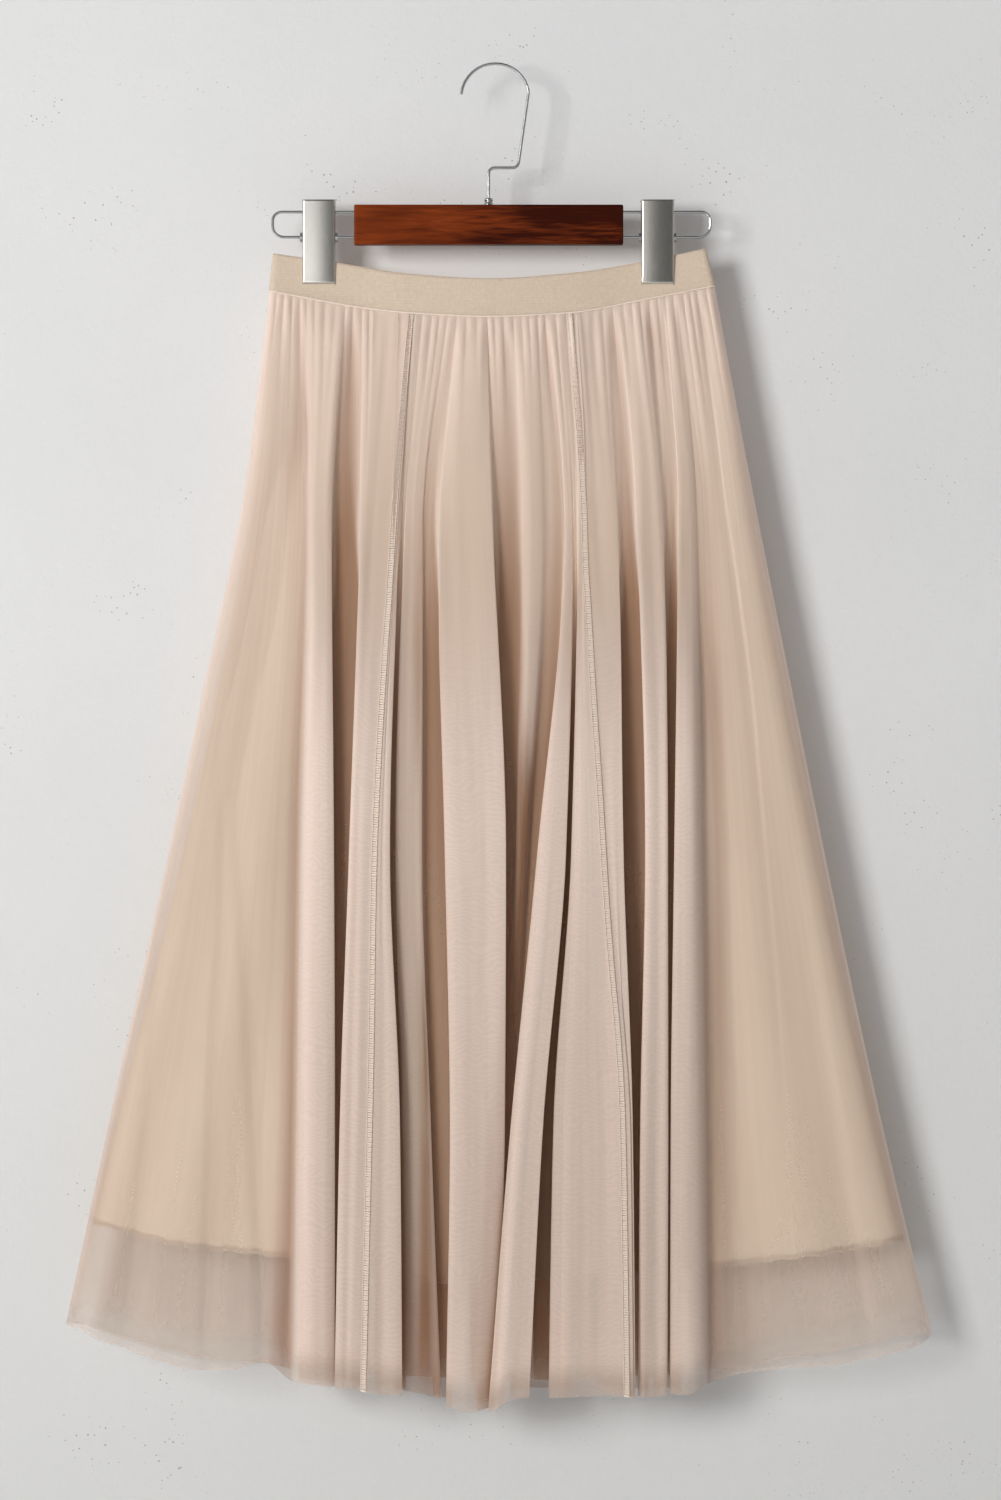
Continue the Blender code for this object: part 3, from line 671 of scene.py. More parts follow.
def at_level(values, v):
    return float(through(tuple(zip(FOLD_LEVELS, values)), v))


def fold_shape(fold, v):
    """A fold's left and right edge, its rise, how soft it is and how far its tucks have grown."""
    softness = 1 - smooth_step((v - SOFT_SHARES[0]) / (SOFT_SHARES[1] - SOFT_SHARES[0]))
    rise = at_level(fold.rise, v) * smooth_step(v / RISE_FROM) * between(1, SOFT_RISE, softness)
    least, most = TUCK_FROM_RISE
    started = (v - TUCK_SHARES[0]) / (TUCK_SHARES[1] - TUCK_SHARES[0])
    grown = smooth_step(started) * min(max((rise - least) / (most - least), 0), 1)
    return at_level(fold.left, v), at_level(fold.right, v), rise, softness, grown


def fold_points(fold, v, gaps, feet):
    """(x, rise) across a fold at height share v: left foot, round the front, right foot."""
    left, right, rise, softness, grown = fold_shape(fold, v)
    width = right - left
    leaf = min(between(LEAF[0], sum(LEAF), v), LEAF_MOST * rise)

    def side(edge, inward, tuck, gap, foot):
        if not tuck:
            shoulder = max(SOFT_SIDE[1] * rise, foot)
            return [(edge, foot), (edge + inward * SOFT_SIDE[0] * width, shoulder)]
        soft = softness * (CRISP if fold.crisp == ("left" if inward > 0 else "right") else 1)
        under = inward * tuck * grown * width
        inner = (rise - leaf) * between(1, SOFT_LEAF[0], soft)
        outer = (rise - leaf / 2) * between(1, SOFT_LEAF[1], soft)
        shoulder = between(SHOULDER[0], SOFT_SHOULDER, soft)
        return [
            (edge + under - inward * soft * SOFT_FOOT * gap, foot),
            (edge + TUCK_RETURN * under + inward * soft * SOFT_EDGE[0] * width, max(inner, foot)),
            (edge + inward * soft * SOFT_EDGE[1] * width, max(outer, foot)),
            (edge + inward * shoulder * width, SHOULDER[1] * rise),
        ]

    if fold.seam:
        share = at_level(fold.seam, v)
        half_facet = min(SEAM_HALF_FACET, 0.8 * (1 - share), 0.8 * share)
        aside = smooth_step((abs(share - 0.5) - 0.15) / 0.3)
        top = rise * (1 - SEAM_LOW * softness * aside)
        front = [(left + (share + off) * width, top) for off in (-half_facet, half_facet)]
    else:
        front = [((left + right) / 2, rise)]
    after = side(right, -1, fold.tuck_right, gaps[1], feet[1])
    return side(left, 1, fold.tuck_left, gaps[0], feet[0]) + front + after[::-1]


def tulle_section(v, folds):
    """(x, rise) of every column line of the front or back at height share v."""
    shapes = [fold_shape(fold, v) for fold in folds]
    gaps, feet = [SOFT_OUTER], [0]
    for one, following in zip(shapes, shapes[1:]):
        gap = max(following[0] - one[1], 0)
        gaps.append(gap)
        feet.append(one[3] * max(1 - gap / BRIDGED, 0) * BRIDGE_RISE * min(one[2], following[2]))
    gaps, feet = gaps + [SOFT_OUTER], feet + [0]
    lines = [fold_points(fold, v, gaps[k : k + 2], feet[k : k + 2]) for k, fold in enumerate(folds)]
    left = side_x(SIDE_LEFT, v)
    right = side_x(SIDE_RIGHT, v)
    before = np.linspace(left, lines[0][0][0], FLAT_COLUMNS[0] + 1)[:-1]
    behind = np.linspace(right, lines[-1][-1][0], FLAT_COLUMNS[1] + 1)[:-1][::-1]
    section = [(x, FLAT_RISE * v) for x in before]
    for line, following, foot in zip(lines, lines[1:] + [None], feet[1:]):
        section += line
        if following:
            section.append(((line[-1][0] + following[0][0]) / 2, foot))
    section += [(x, FLAT_RISE * v) for x in behind]
    return np.array(section, float)


def seam_columns(folds):
    """Index of the last column line before each gore seam."""
    found = []
    index = FLAT_COLUMNS[0]
    for fold in folds:
        before_front = 4 if fold.tuck_left else 2
        if fold.seam:
            found.append(index + before_front)
        index += before_front + (2 if fold.seam else 1) + (4 if fold.tuck_right else 2) + 1
    return found


def rounded_line(line, finer):
    """A smooth line through the points, `finer` steps a stretch, with no loop at a tight turn."""
    points = np.vstack((2 * line[0] - line[1], line, 2 * line[-1] - line[-2]))
    gaps = np.sqrt(np.linalg.norm(np.diff(points[:, :2], axis=0), axis=1) + 1e-6)
    before, own, after = gaps[:-2, None, None], gaps[1:-1, None, None], gaps[2:, None, None]
    p0, p1, p2, p3 = (points[k : len(points) - 3 + k, None] for k in range(4))
    t = np.linspace(0, 1, finer, endpoint=False)[None, :, None] * own
    a1 = -t / before * p0 + (t + before) / before * p1
    a2 = (own - t) / own * p1 + t / own * p2
    a3 = (own + after - t) / after * p2 + (t - own) / after * p3
    b1 = ((own - t) * a1 + (t + before) * a2) / (before + own)
    b2 = ((own + after - t) * a2 + t * a3) / (own + after)
    curve = (own - t) / own * b1 + t / own * b2
    return np.vstack((curve.reshape(-1, line.shape[1]), line[-1:]))


def ridges(waist, drawn, pitch, height):
    """Ridges of random pitch and height along the waist, and which one each place is on."""
    feet = [waist[0]]
    while feet[-1] < waist[-1]:
        feet.append(feet[-1] + drawn.uniform(*pitch))
    heights = np.array([drawn.uniform(*height) for _ in feet])
    which = np.clip(np.searchsorted(feet, waist, side="right") - 1, 0, len(feet) - 2)
    share = (waist - np.array(feet)[which]) / np.diff(feet)[which]
    return np.sin(math.pi * share), heights[which], which


def gather_heights(waist, rows, pinches, seed):
    """How far the gathers stand proud of the floor, for every row and every place on the waist."""
    drawn = random.Random(seed)
    down = rows[:, None]
    shape, heights, which = ridges(waist, drawn, FINE_PITCH, FINE_HEIGHT)
    fades = np.array([between(*FINE_FADE, drawn.random()) for _ in range(which.max() + 1)])[which]
    proud = (shape * heights)[None] * np.exp(-((down / fades[None]) ** 1.5))
    proud *= between(GATHER_STARTS, 1, smooth_step(down / GATHER_FROM))
    shape, heights, which = ridges(waist, drawn, RIPPLE_PITCH, RIPPLE_HEIGHT)
    grown = RIPPLE_GROWS[0] + RIPPLE_GROWS[1] * down
    proud += (shape**2 * heights)[None] * smooth_step(down / RIPPLE_FROM) * grown
    swell, gone = PINCHED_SWELL
    proud += swell * smooth_step(down / RISE_FROM) * np.exp(-((down / gone) ** 2))
    for x, depth, fade in pinches:
        width = PINCH_WIDTH * (1 + down / fade)
        valley = np.exp(-(((waist[None] - x) / width) ** 2))
        proud -= depth * smooth_step(down / RISE_FROM) * np.exp(-((down / fade) ** 2)) * valley
    return proud


def crease_depths(x, drop, creases):
    """How deep the troughs and creases are at these places across one row."""
    depths = np.zeros_like(x)
    for crease in creases:
        drops, places, deep = zip(*crease.line)
        off = x - through(tuple(zip(drops, places)), drop)
        reach = np.where(off < 0, crease.to_left, crease.to_right)
        starts = smooth_step((drop - drops[0]) / CREASE_FADE_IN + 1)
        depths += through(tuple(zip(drops, deep)), drop) * starts * np.exp(-((off / reach) ** 2))
    return depths


def tulle_grid(toward, folds, creases, pinches, hem, seed):
    """The whole front or back of the tulle, and the fine column on which each gore seam lies."""
    rows = np.append(np.linspace(0, 1, TULLE_ROWS) ** ROWS_CLOSE_UP, CUT_EDGE_AT)
    last = tulle_section(1.0, folds)
    wave = 2 * math.pi * last[:, 0] / HEM_WAVE[1]
    hems = through(hem, last[:, 0]) + HEM_SAG * last[:, 1]
    hems = hems + HEM_WAVE[0] * np.sin(wave + 2 * np.sin(wave / 3))
    lines = []
    for v in rows:
        x, rise = tulle_section(min(v, 1.0), folds).T
        if not lines:
            tops = through(WAIST_DROP, x) - UNDER_BAND
            at_waist = foot_depth(x) + WAIST_OFFSET
            waist = rounded_line(np.column_stack((x, rise)), TULLE_FINER)[:, 0]
            gathers = gather_heights(waist, rows, pinches, seed)
        spread = smooth_step(v / SPREAD_SHARE)
        floor = between(at_waist, through(FLOOR, v), spread)
        line = rounded_line(np.column_stack((x, floor + rise, between(tops, hems, v))), TULLE_FINER)
        place, depth, drop = line.T
        depth = depth + gathers[len(lines)]
        least = float(np.min(floor)) - between(*CREASE_BELOW_FLOOR, spread)
        depth = np.maximum(depth - crease_depths(place, drop, creases), least)
        rounding = side_rounding(np.minimum(place - place[0], place[-1] - place), min(v, 1))
        depth = between(SIDE_EDGE_DEPTH, depth, rounding)
        lines.append(np.column_stack((place, toward * depth, -drop)))
    seams = [int((cut + 0.5) * TULLE_FINER) for cut in seam_columns(folds)]
    return np.array(lines), seams, rows


def net_cover(grid, rows, layered):
    """Share of the view that the net's yarn fills, more where bunched, doubled or edge on."""
    across = np.gradient(grid, axis=1)
    facing = np.abs(across[:, :, 0]) / (np.linalg.norm(across, axis=2) + 1e-6)
    facing = (np.roll(facing, 1, axis=1) + facing + np.roll(facing, -1, axis=1)) / 3
    layers = through(BUNCHED, rows)[:, None] * (1 + layered) / np.clip(facing, LEAST_FACING, 1)
    cover = 1 - (1 - SINGLE_COVER) ** layers
    at_hem = smooth_step((rows - HEM_THINS[0]) / (1 - HEM_THINS[0]))
    cover *= between(1, HEM_THINS[1], at_hem)[:, None]
    cover[-2:] = np.maximum(cover[-2:], CUT_EDGE_COVER)
    # The second share is where the net turns edge on, and it weights the highlight painted along the
    # fold edges.
    return cover, smooth_step((RIM_FACING[0] - facing) / RIM_FACING[1])


def shifted(values, steps, axis):
    """The values moved along one axis, with the edge repeated."""
    moved = np.roll(values, steps, axis=axis)
    edge = [slice(None), slice(None)]
    edge[axis] = 0 if steps > 0 else -1
    moved[tuple(edge)] = values[tuple(edge)]
    return moved


def sunk(grid, toward):
    """How far each point lies below the cloth on either side, 0 to 1 at SUNK_MOST mm: painted shade
    weight.
    """
    depth = grid[:, :, 1] * toward
    x = grid[:, :, 0]
    level = np.zeros_like(depth)
    for row in range(len(depth)):
        places = np.arange(x[row].min(), x[row].max(), SUNK_STEP)
        which = np.clip(((x[row] - places[0]) / SUNK_STEP).astype(int), 0, len(places) - 1)
        crest = np.full(len(places), -99.0)
        np.maximum.at(crest, which, depth[row])
        on_left = np.array([crest[max(k - SUNK_REACH, 0) : k + 1].max() for k in range(len(places))])
        on_right = np.array([crest[k : k + SUNK_REACH + 1].max() for k in range(len(places))])
        lower, higher = np.minimum(on_left, on_right), np.maximum(on_left, on_right)
        around = between(lower, higher, SUNK_HIGHER_SIDE)
        level[row] = np.interp(x[row], places + SUNK_STEP / 2, around) - depth[row]
    for _ in range(SUNK_SMOOTH):
        for axis in (0, 1):
            level = (shifted(level, 1, axis) + 2 * level + shifted(level, -1, axis)) / 4
    return smooth_step((level - SUNK_LEAST) / (SUNK_MOST - SUNK_LEAST))


def doubled_net(grid, rows, folds):
    """Where the net lies over a tuck of its own, beside the edges of the folds."""
    doubled = np.zeros(grid.shape[:2])
    for row, v in enumerate(rows):
        for fold in folds:
            left, right, _, _, grown = fold_shape(fold, min(v, 1))
            for edge, inward, tuck in ((left, 1, fold.tuck_left), (right, -1, fold.tuck_right)):
                off = (grid[row, :, 0] - edge) * inward
                reach = tuck * grown * (right - left)
                inside = smooth_step((off + FOLD_EDGE) / (2 * FOLD_EDGE))
                inside = inside * smooth_step((reach - off) / TUCK_SOFT)
                doubled[row] = np.maximum(doubled[row], TUCK_DENSE * inside * grown)
            across = np.minimum(grid[row, :, 0] - left, right - grid[row, :, 0])
            inside = smooth_step((across + FOLD_EDGE) / (2 * FOLD_EDGE))
            doubled[row] = np.maximum(doubled[row], FOLD_DENSE * grown * inside)
    return doubled


def sew_seam(name, grid, seam, toward):
    """One gore seam: a strip of doubled net under an overlocked ladder of thread."""
    strip = np.zeros((len(grid), 5, 3))
    for row, points in enumerate(grid[:, seam - SEAM_LOOK : seam + SEAM_LOOK + 1]):
        along = lengths_along(points)
        stations = along[SEAM_LOOK] + SEAM_HALF * np.linspace(-1, 1, 5)
        strip[row] = points_on(points, along, stations)
    strip[:, :, 1] += toward * SEAM_LIFT
    doubled = surface(f"net_seam_{name}", strip, sewing_thread, toward)
    rails = []
    for line in (strip[:, 0], strip[:, -1]):
        down = lengths_along(line)
        stitches = np.linspace(SEAM_STITCH, down[-1] - SEAM_STITCH, SEAM_RUNGS)
        rails.append(points_on(line, down, stitches))
        rails[-1][:, 1] += toward * SEAM_THREAD
    ladder = [*rails[0], *np.stack((rails[1], rails[0], rails[1]), axis=1)[::-1].reshape(-1, 3)]
    sewn = thread(f"seam_thread_{name}", ladder, SEAM_THREAD, sewing_thread)
    return [doubled, sewn]


# Polyester tulle: a warp-knitted net of fine matt yarn with holes under 1 mm, too fine to show
# one by one, so it is a part-clear cloth. Two layers of it give the moire waves that are drawn.
net, shader = finish(
    "polyester_tulle",
    {"Roughness": 0.75, "Specular IOR Level": 0.2, "Sheen Weight": 0.1, "Sheen Roughness": 0.5},
)
spot = added(net, "ShaderNodeUVMap", uv_map="cut").outputs["UV"]
cover = added(net, "ShaderNodeAttribute", attribute_name="cover")
thick = added(
    net,
    "ShaderNodeMapRange",
    {"Value": cover.outputs["Fac"], "From Min": 0.36, "From Max": 0.85},
)
broad_ways = added(net, "ShaderNodeMapping", {"Vector": spot, "Scale": (46.0, 2.0, 1.0)})
broad = added(
    net,
    "ShaderNodeTexNoise",
    {"Vector": broad_ways.outputs["Vector"], "Scale": 1.0, "Detail": 3.0},
)
hue = added(
    net,
    "ShaderNodeMix",
    {0: broad.outputs["Fac"], 6: linear("#f3e4d9"), 7: linear("#fae6dc")},
    data_type="RGBA",
)
tone = added(
    net,
    "ShaderNodeMix",
    {0: thick.outputs["Result"], 6: linear("#cfbbab"), 7: hue.outputs[2]},
    data_type="RGBA",
)
# Painted shade: where the net lies sunk below the cloth beside it, in the channels between the folds,
# its colour is mixed towards a dark warm brown.
painted_shade_weight = added(net, "ShaderNodeAttribute", attribute_name="sunk")
shaded = added(
    net,
    "ShaderNodeMix",
    {0: painted_shade_weight.outputs["Fac"], 6: tone.outputs[2], 7: linear("#9f785d")},
    data_type="RGBA",
)
# Painted highlight: where the net turns edge on along the fold edges, its colour is lightened towards
# near white.
turned = added(net, "ShaderNodeAttribute", attribute_name="rim")
edge_on = added(net, "ShaderNodeMath", {0: turned.outputs["Fac"], 1: 0.45}, operation="MULTIPLY")
lit = added(
    net,
    "ShaderNodeMix",
    {0: edge_on.outputs[0], 6: shaded.outputs[2], 7: linear("#f8ede4")},
    data_type="RGBA",
)
feed(net, shader, {"Base Color": lit.outputs[2]})
long_ways = added(net, "ShaderNodeMapping", {"Vector": spot, "Scale": (110.0, 4.0, 1.0)})
streak = added(
    net,
    "ShaderNodeTexNoise",
    {"Vector": long_ways.outputs["Vector"], "Scale": 1.0, "Detail": 3.0},
)
waves = added(
    net,
    "ShaderNodeTexWave",
    {"Vector": spot, "Scale": 80.0, "Distortion": 24.0, "Detail": 2.0, "Detail Scale": 0.55},
    wave_profile="SIN",
    bands_direction="Y",
)
uneven = added(
    net,
    "ShaderNodeMath",
    {0: streak.outputs["Fac"], 1: 0.3, 2: 0.85},
    operation="MULTIPLY_ADD",
)
layers = added(net, "ShaderNodeAttribute", attribute_name="doubled")
centred = added(net, "ShaderNodeMath", {0: waves.outputs["Fac"], 1: 0.5}, operation="SUBTRACT")
strength = added(
    net,
    "ShaderNodeMath",
    {0: layers.outputs["Fac"], 1: 0.03, 2: 0.01},
    operation="MULTIPLY_ADD",
)
rippled = added(
    net,
    "ShaderNodeMath",
    {0: centred.outputs[0], 1: strength.outputs[0], 2: 1.0},
    operation="MULTIPLY_ADD",
)
both = added(net, "ShaderNodeMath", {0: uneven.outputs[0], 1: rippled.outputs[0]}, operation="MULTIPLY")
alpha = added(
    net,
    "ShaderNodeMath",
    {0: cover.outputs["Fac"], 1: both.outputs[0]},
    operation="MULTIPLY",
    use_clamp=True,
)
relief = added(
    net,
    "ShaderNodeBump",
    {"Strength": 0.15, "Distance": 0.0012, "Height": streak.outputs["Fac"]},
)
feed(net, shader, {"Alpha": alpha.outputs[0], "Normal": relief.outputs["Normal"]})

# Some of the light that falls on the fine yarn goes on through it and warms the folds from inside.
glow = added(net, "ShaderNodeBsdfTranslucent", {"Color": lit.outputs[2]})
holes = added(net, "ShaderNodeBsdfTransparent")
thin = added(net, "ShaderNodeMixShader", {0: alpha.outputs[0], 1: holes.outputs[0], 2: glow.outputs[0]})
cloth_and_glow = added(
    net,
    "ShaderNodeMixShader",
    {0: 0.22, 1: shader.outputs["BSDF"], 2: thin.outputs[0]},
)
feed(net, net.node_tree.nodes["Material Output"], {"Surface": cloth_and_glow.outputs[0]})

for side, toward, folds, creases, pinches, hem, seed in (
    ("front", -1, FRONT_FOLDS, FRONT_CREASES, FRONT_PINCHES, FRONT_HEM, 4),
    ("back", 1, BACK_FOLDS, BACK_CREASES, BACK_PINCHES, BACK_HEM, 9),
):
    grid, seams, rows = tulle_grid(toward, folds, creases, pinches, hem, seed)
    lay = across_and_down(grid)
    lay[:, :, 0] = lay[-1, :, 0]
    layered = doubled_net(grid, rows, folds)
    # Painted shade in the hollows between the folds, where the net is also made denser so that the
    # painted shade shows.
    below = sunk(grid, toward)
    covers, rims = net_cover(grid, rows, layered + SUNK_DENSE * below)
    bounds = [0, *seams, grid.shape[1] - 1]
    for k, place in enumerate(("left", "centre", "right")):
        part = slice(bounds[k], bounds[k + 1] + 1)
        gore = surface(
            f"net_{side}_{place}",
            grid[:, part],
            net,
            toward,
            lay=lay[:, part],
            cover=covers[:, part],
            doubled=layered[:, part],
            sunk=below[:, part],
            rim=rims[:, part],
        )
        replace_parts(gore, f"tulle_{side}_{place}")
        sewn_on = sew_seam(f"{side}_{place}", grid, seams[k], toward) if place != "right" else []


# Waistband: a loop of 30 mm woven elastic, flattened by hanging, pinched in the clips' jaws and
# sagging open between them. The tulle's gathers are stitched behind its corded lower edge.
BAND_ENDS = ((-175.4, 165.1), (-178.5, 172.6))
BAND_TOP = ((-175, 149), (-126, 156), (-66, 165.5), (-5, 169), (60, 164.5), (115, 155.5), (165, 145))
BAND_WALL = 1.9
BAND_END_ROUND = 4.0
BAND_JAW_SHARE = 0.78
BAND_ROWS = 14
BAND_COLUMNS = 150
BAND_PUCKER = (0.22, 7.3)
EDGE_CORD = 0.75
EDGE_CORD_OUT = 1.5

# Woven elastic: crepe-covered rubber warp in a plain ribbed weave, matt, with ribs of 0.8 mm
# drawn at twice that.
elastic, shader = finish(
    "woven_elastic",
    {"Roughness": 0.8, "Specular IOR Level": 0.25, "Sheen Weight": 0.2},
)
spot = added(elastic, "ShaderNodeTexCoord").outputs["Object"]
ribs = added(
    elastic,
    "ShaderNodeTexWave",
    {"Vector": spot, "Scale": 196.0, "Distortion": 0.6, "Detail": 1.0},
    bands_direction="X",
)
picks = added(
    elastic,
    "ShaderNodeTexWave",
    {"Vector": spot, "Scale": 260.0, "Distortion": 0.8, "Detail": 1.0},
    bands_direction="Z",
)
weave = added(
    elastic,
    "ShaderNodeMath",
    {0: ribs.outputs["Fac"], 1: picks.outputs["Fac"]},
    operation="ADD",
)
fuzz = added(elastic, "ShaderNodeTexNoise", {"Vector": spot, "Scale": 420.0, "Detail": 3.0})
tone = added(
    elastic,
    "ShaderNodeMix",
    {0: fuzz.outputs["Fac"], 6: linear("#c4b19e"), 7: linear("#d8c8b7")},
    data_type="RGBA",
)
relief = added(
    elastic,
    "ShaderNodeBump",
    {"Strength": 0.3, "Distance": 0.0003, "Height": weave.outputs[0]},
)
feed(elastic, shader, {"Base Color": tone.outputs[2], "Normal": relief.outputs["Normal"]})


def band_ring(v):
    """The band's middle surface all round at height share v: front from left, then back."""
    ends = [between(BAND_ENDS[0][k], BAND_ENDS[1][k], v) for k in (0, 1)]
    width = ends[1] - ends[0]
    turn = BAND_END_ROUND * (1 - np.cos(np.linspace(0, math.pi / 2, 8)))
    middle = np.linspace(BAND_END_ROUND, width - BAND_END_ROUND, BAND_COLUMNS)[1:-1]
    x = ends[0] + np.concatenate((turn, middle, width - turn[::-1]))
    drop = between(through(BAND_TOP, x), through(WAIST_DROP, x), v)
    opened = max((v - BAND_JAW_SHARE) / (1 - BAND_JAW_SHARE), 0)
    depth = between(through(WAIST_DEPTH, x), foot_depth(x), opened)
    depth = depth + BAND_PUCKER[0] * opened * np.sin(2 * math.pi * x / BAND_PUCKER[1])
    inset = np.clip(np.minimum(x - ends[0], ends[1] - x) / BAND_END_ROUND, 0, 1)
    depth = depth * np.sqrt(1 - (1 - inset) ** 2)
    front = np.column_stack((x, -depth, -drop))
    back = np.column_stack((x, depth, -drop))[-2:0:-1]
    return np.concatenate((front, back))


rings = np.array([band_ring(v) for v in np.linspace(0, 1, BAND_ROWS)])
band = surface("elastic_band", rings, elastic, -1, closed=True)
woven = band.modifiers.new("thickness", "SOLIDIFY")
woven.thickness = BAND_WALL * MM
woven.offset = 0
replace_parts(band, "waistband")
foot = band_ring(1.0)
foot[:, 1] += np.sign(foot[:, 1]) * EDGE_CORD_OUT
foot[:, 2] += EDGE_CORD * 0.6
corded_edge = thread("elastic_corded_edge", foot, EDGE_CORD, sewing_thread, closed=True)


# Hanger: a flat strip of beech, stained red-brown and lacquered, with the wires of the clips set
# in its ends, and a bent wire hook that turns in a small pressed ferrule on its top edge.
STEM_X = -5.8
FERRULE = (
    (1.3, 104.9), (2.6, 105.0), (3.3, 105.5), (3.4, 107.4), (3.0, 107.7), (3.0, 108.3),
    (3.7, 108.7), (3.7, 110.3),
)

# Stained beech: short fine flecks and long grain along the bar, under a smooth satin lacquer.
wood, shader = finish(
    "stained_lacquered_beech",
    {"Roughness": 0.4, "Specular IOR Level": 0.05, "Coat Weight": 0.04, "Coat Roughness": 0.2},
)
coordinates = added(wood, "ShaderNodeTexCoord")
spot = coordinates.outputs["Object"]
drawn_out = added(wood, "ShaderNodeMapping", {"Vector": spot, "Scale": (34.0, 420.0, 420.0)})
grain = added(
    wood,
    "ShaderNodeTexNoise",
    {"Vector": drawn_out.outputs["Vector"], "Scale": 1.0, "Detail": 6.0, "Distortion": 0.6},
)
broad = added(wood, "ShaderNodeMapping", {"Vector": spot, "Scale": (8.0, 22.0, 34.0)})
cloudy = added(
    wood,
    "ShaderNodeTexNoise",
    {"Vector": broad.outputs["Vector"], "Scale": 1.0, "Detail": 2.0},
)
streaks = added(
    wood,
    "ShaderNodeMath",
    {0: grain.outputs["Fac"], 1: cloudy.outputs["Fac"]},
    operation="MULTIPLY",
)
# Painted light and shade: the bar is painted lighter at its left end, towards the light, and darker
# towards its right end; the grain is its own.
along = added(wood, "ShaderNodeSeparateXYZ", {0: coordinates.outputs["Generated"]})
lightened = added(wood, "ShaderNodeMath", {0: streaks.outputs[0], 1: 0.12}, operation="ADD")
grain_and_painted_shade = added(
    wood,
    "ShaderNodeMath",
    {0: along.outputs["X"], 1: -0.37, 2: lightened.outputs[0]},
    operation="MULTIPLY_ADD",
)
tone = added(wood, "ShaderNodeValToRGB", {"Fac": grain_and_painted_shade.outputs[0]})
tone.color_ramp.elements[0].position = 0.08
tone.color_ramp.elements[0].color = linear("#330d03")
tone.color_ramp.elements[1].position = 0.4
tone.color_ramp.elements[1].color = linear("#7e3613")
relief = added(
    wood,
    "ShaderNodeBump",
    {"Strength": 0.08, "Distance": 0.0004, "Height": grain.outputs["Fac"]},
)
feed(wood, shader, {"Base Color": tone.outputs["Color"], "Normal": relief.outputs["Normal"]})

# Chromed steel wire: a hard bright mirror with slight drawing marks. The ferrule is the same.
chrome, shader = finish("chromed_steel_wire", {"Base Color": linear("#b9bbbd"), "Metallic": 1.0})
spot = added(chrome, "ShaderNodeTexCoord").outputs["Object"]
marks = added(chrome, "ShaderNodeTexNoise", {"Vector": spot, "Scale": 240.0, "Detail": 2.0})
dulled = added(
    chrome,
    "ShaderNodeMapRange",
    {"Value": marks.outputs["Fac"], "To Min": 0.12, "To Max": 0.22},
)
feed(chrome, shader, {"Roughness": dulled.outputs["Result"]})
turns = np.linspace(0, 2 * math.pi, 33)[:-1]
ferrule = surface(
    "turned_ferrule",
    np.array([[(STEM_X + r * math.cos(a), r * math.sin(a), -d) for a in turns] for r, d in FERRULE]),
    chrome,
    -1,
    closed=True,
)
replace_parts(ferrule, "ferrule")


def refinish(node, look):
    """Gives a solid that is kept as it is its real material."""
    for slot in bpy.data.objects[node].material_slots:
        slot.material = look


refinish("bar", wood)
for wire in ("hook", "wire_left", "wire_right"):
    refinish(wire, chrome)


# Clips: two pressed steel channels each, nickelled and brushed, rounded down their long edges and
# closed at top and lip, leaning together on a coiled spring that sits on the lower wire.
CLIP_X = (-139.8, 127.6)
CLIP_HALF = 13.0
CLIP_SHEET = 0.8
CLIP_ROUND = 1.8
CLIP_DROPS = (106.7, 173.0)
CLIP_DEPTHS = (9.2, 3.9)
CLIP_TOP_ROUND = ((0, 1.4), (0.2, 0.5), (0.7, 0))
CLIP_LIP_ROUND = ((0.3, 0.2), (0, 0.7))
CLIP_BACK_EDGE = ((106.7, 4.7), (116.7, 2.7), (173.0, 2.7))
SPRING_DROP = 135.9
SPRING_ROOM = 4.5

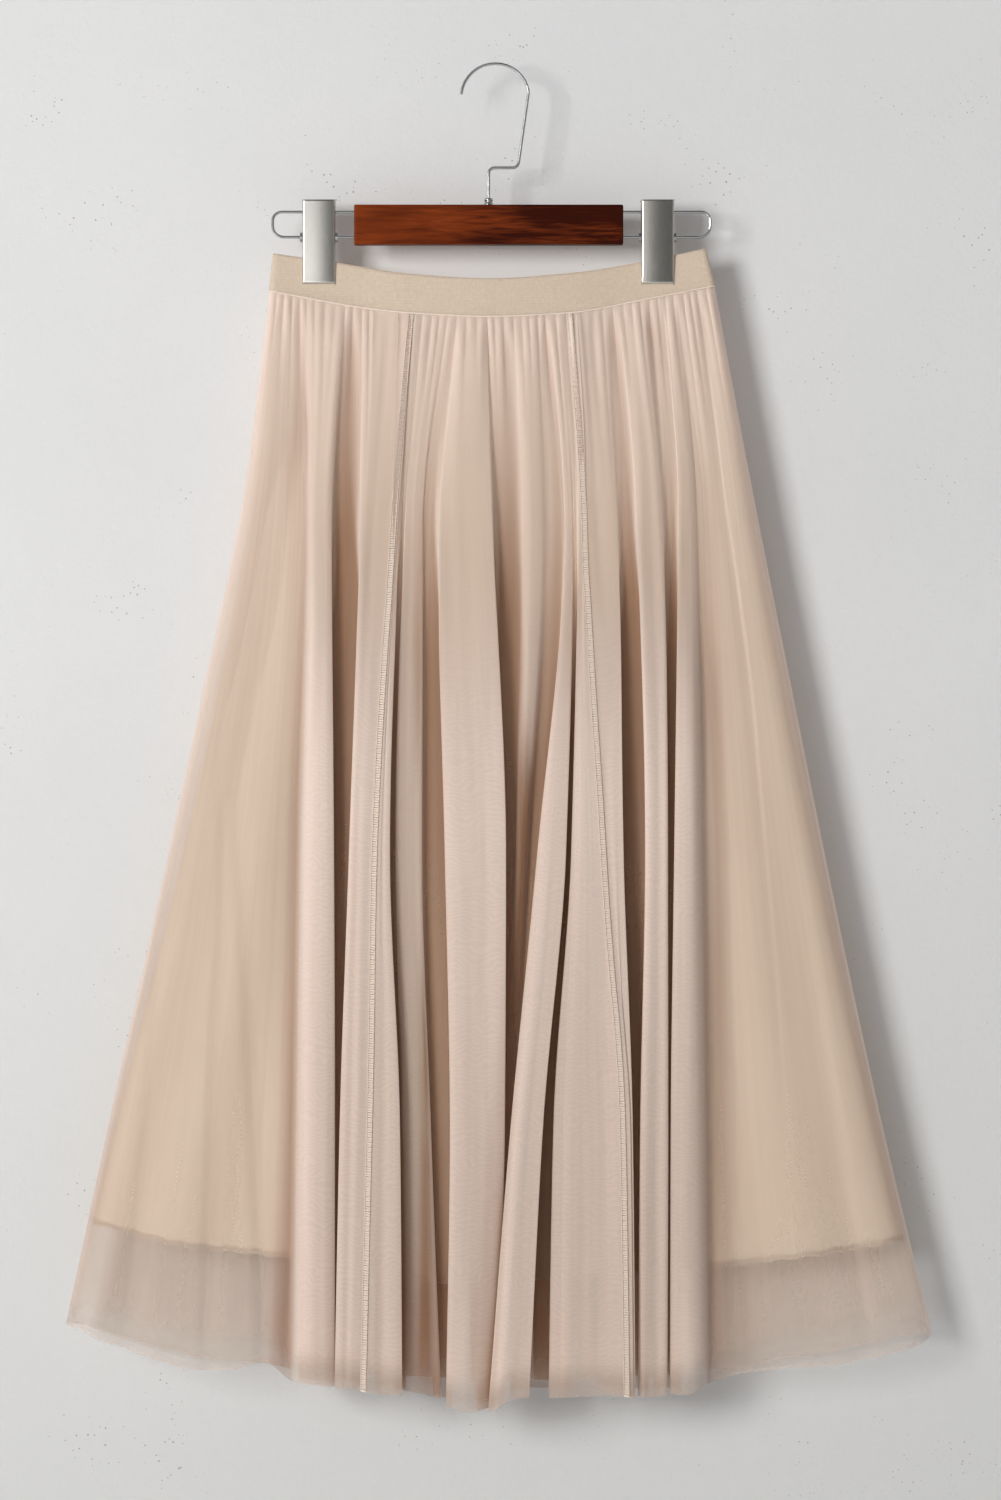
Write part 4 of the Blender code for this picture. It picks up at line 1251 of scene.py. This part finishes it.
# Brushed nickel plate: soft and pale, its fine scratches run down the plate.
nickel, shader = finish("brushed_nickel_plate", {"Base Color": linear("#d2cfc9"), "Metallic": 1.0})
spot = added(nickel, "ShaderNodeTexCoord").outputs["Object"]
brushed = added(nickel, "ShaderNodeMapping", {"Vector": spot, "Scale": (1500.0, 1500.0, 30.0)})
scratches = added(
    nickel,
    "ShaderNodeTexNoise",
    {"Vector": brushed.outputs["Vector"], "Scale": 1.0, "Detail": 3.0},
)
dulled = added(
    nickel,
    "ShaderNodeMapRange",
    {"Value": scratches.outputs["Fac"], "To Min": 0.15, "To Max": 0.24},
)
relief = added(
    nickel,
    "ShaderNodeBump",
    {"Strength": 0.05, "Distance": 0.0002, "Height": scratches.outputs["Fac"]},
)
feed(nickel, shader, {"Roughness": dulled.outputs["Result"], "Normal": relief.outputs["Normal"]})


def plate_row(x, toward, drop, depth):
    """One level of a channel plate: left flange, rounded corner, face, corner, right flange."""
    back = float(np.interp(drop, *zip(*CLIP_BACK_EDGE)))
    back = max(back, math.sqrt(max(SPRING_ROOM**2 - (drop - SPRING_DROP) ** 2, 0)))
    depth = max(depth, back + 0.05)
    turn = min(CLIP_ROUND, depth - back)
    left = [(-CLIP_HALF, back), (-CLIP_HALF, between(back, depth - turn, 0.5))]
    for a in np.linspace(math.pi / 2, 0, 8):
        left.append((-CLIP_HALF + turn * (1 - math.sin(a)), depth - turn * (1 - math.cos(a))))
    across = left + [(-px, py) for px, py in left[::-1]]
    return [(x + px, toward * py, -drop) for px, py in across]


def clip_plate(name, x, toward):
    top, lip = CLIP_DROPS
    at_top, at_lip = CLIP_DEPTHS
    levels = [(top, 0)] + [(top + below, at_top - short) for below, short in CLIP_TOP_ROUND]
    for drop in np.arange(top + 2, lip - 1, 1.0):
        levels.append((drop, between(at_top, at_lip, (drop - top) / (lip - top))))
    levels += [(lip - above, at_lip - short) for above, short in CLIP_LIP_ROUND] + [(lip, 0)]
    grid = np.array([plate_row(x, toward, *level) for level in levels])
    plate = surface(name, grid, nickel, toward)
    pressed = plate.modifiers.new("thickness", "SOLIDIFY")
    pressed.thickness = CLIP_SHEET * MM
    pressed.offset = -1
    return plate


for place, x in zip(("left", "right"), CLIP_X):
    for side, toward in (("front", -1), ("back", 1)):
        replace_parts(clip_plate(f"plate_{place}_{side}", x, toward), f"clip_{place}_{side}")
    refinish(f"spring_{place}", chrome)

scene.cycles.transparent_max_bounces = 18
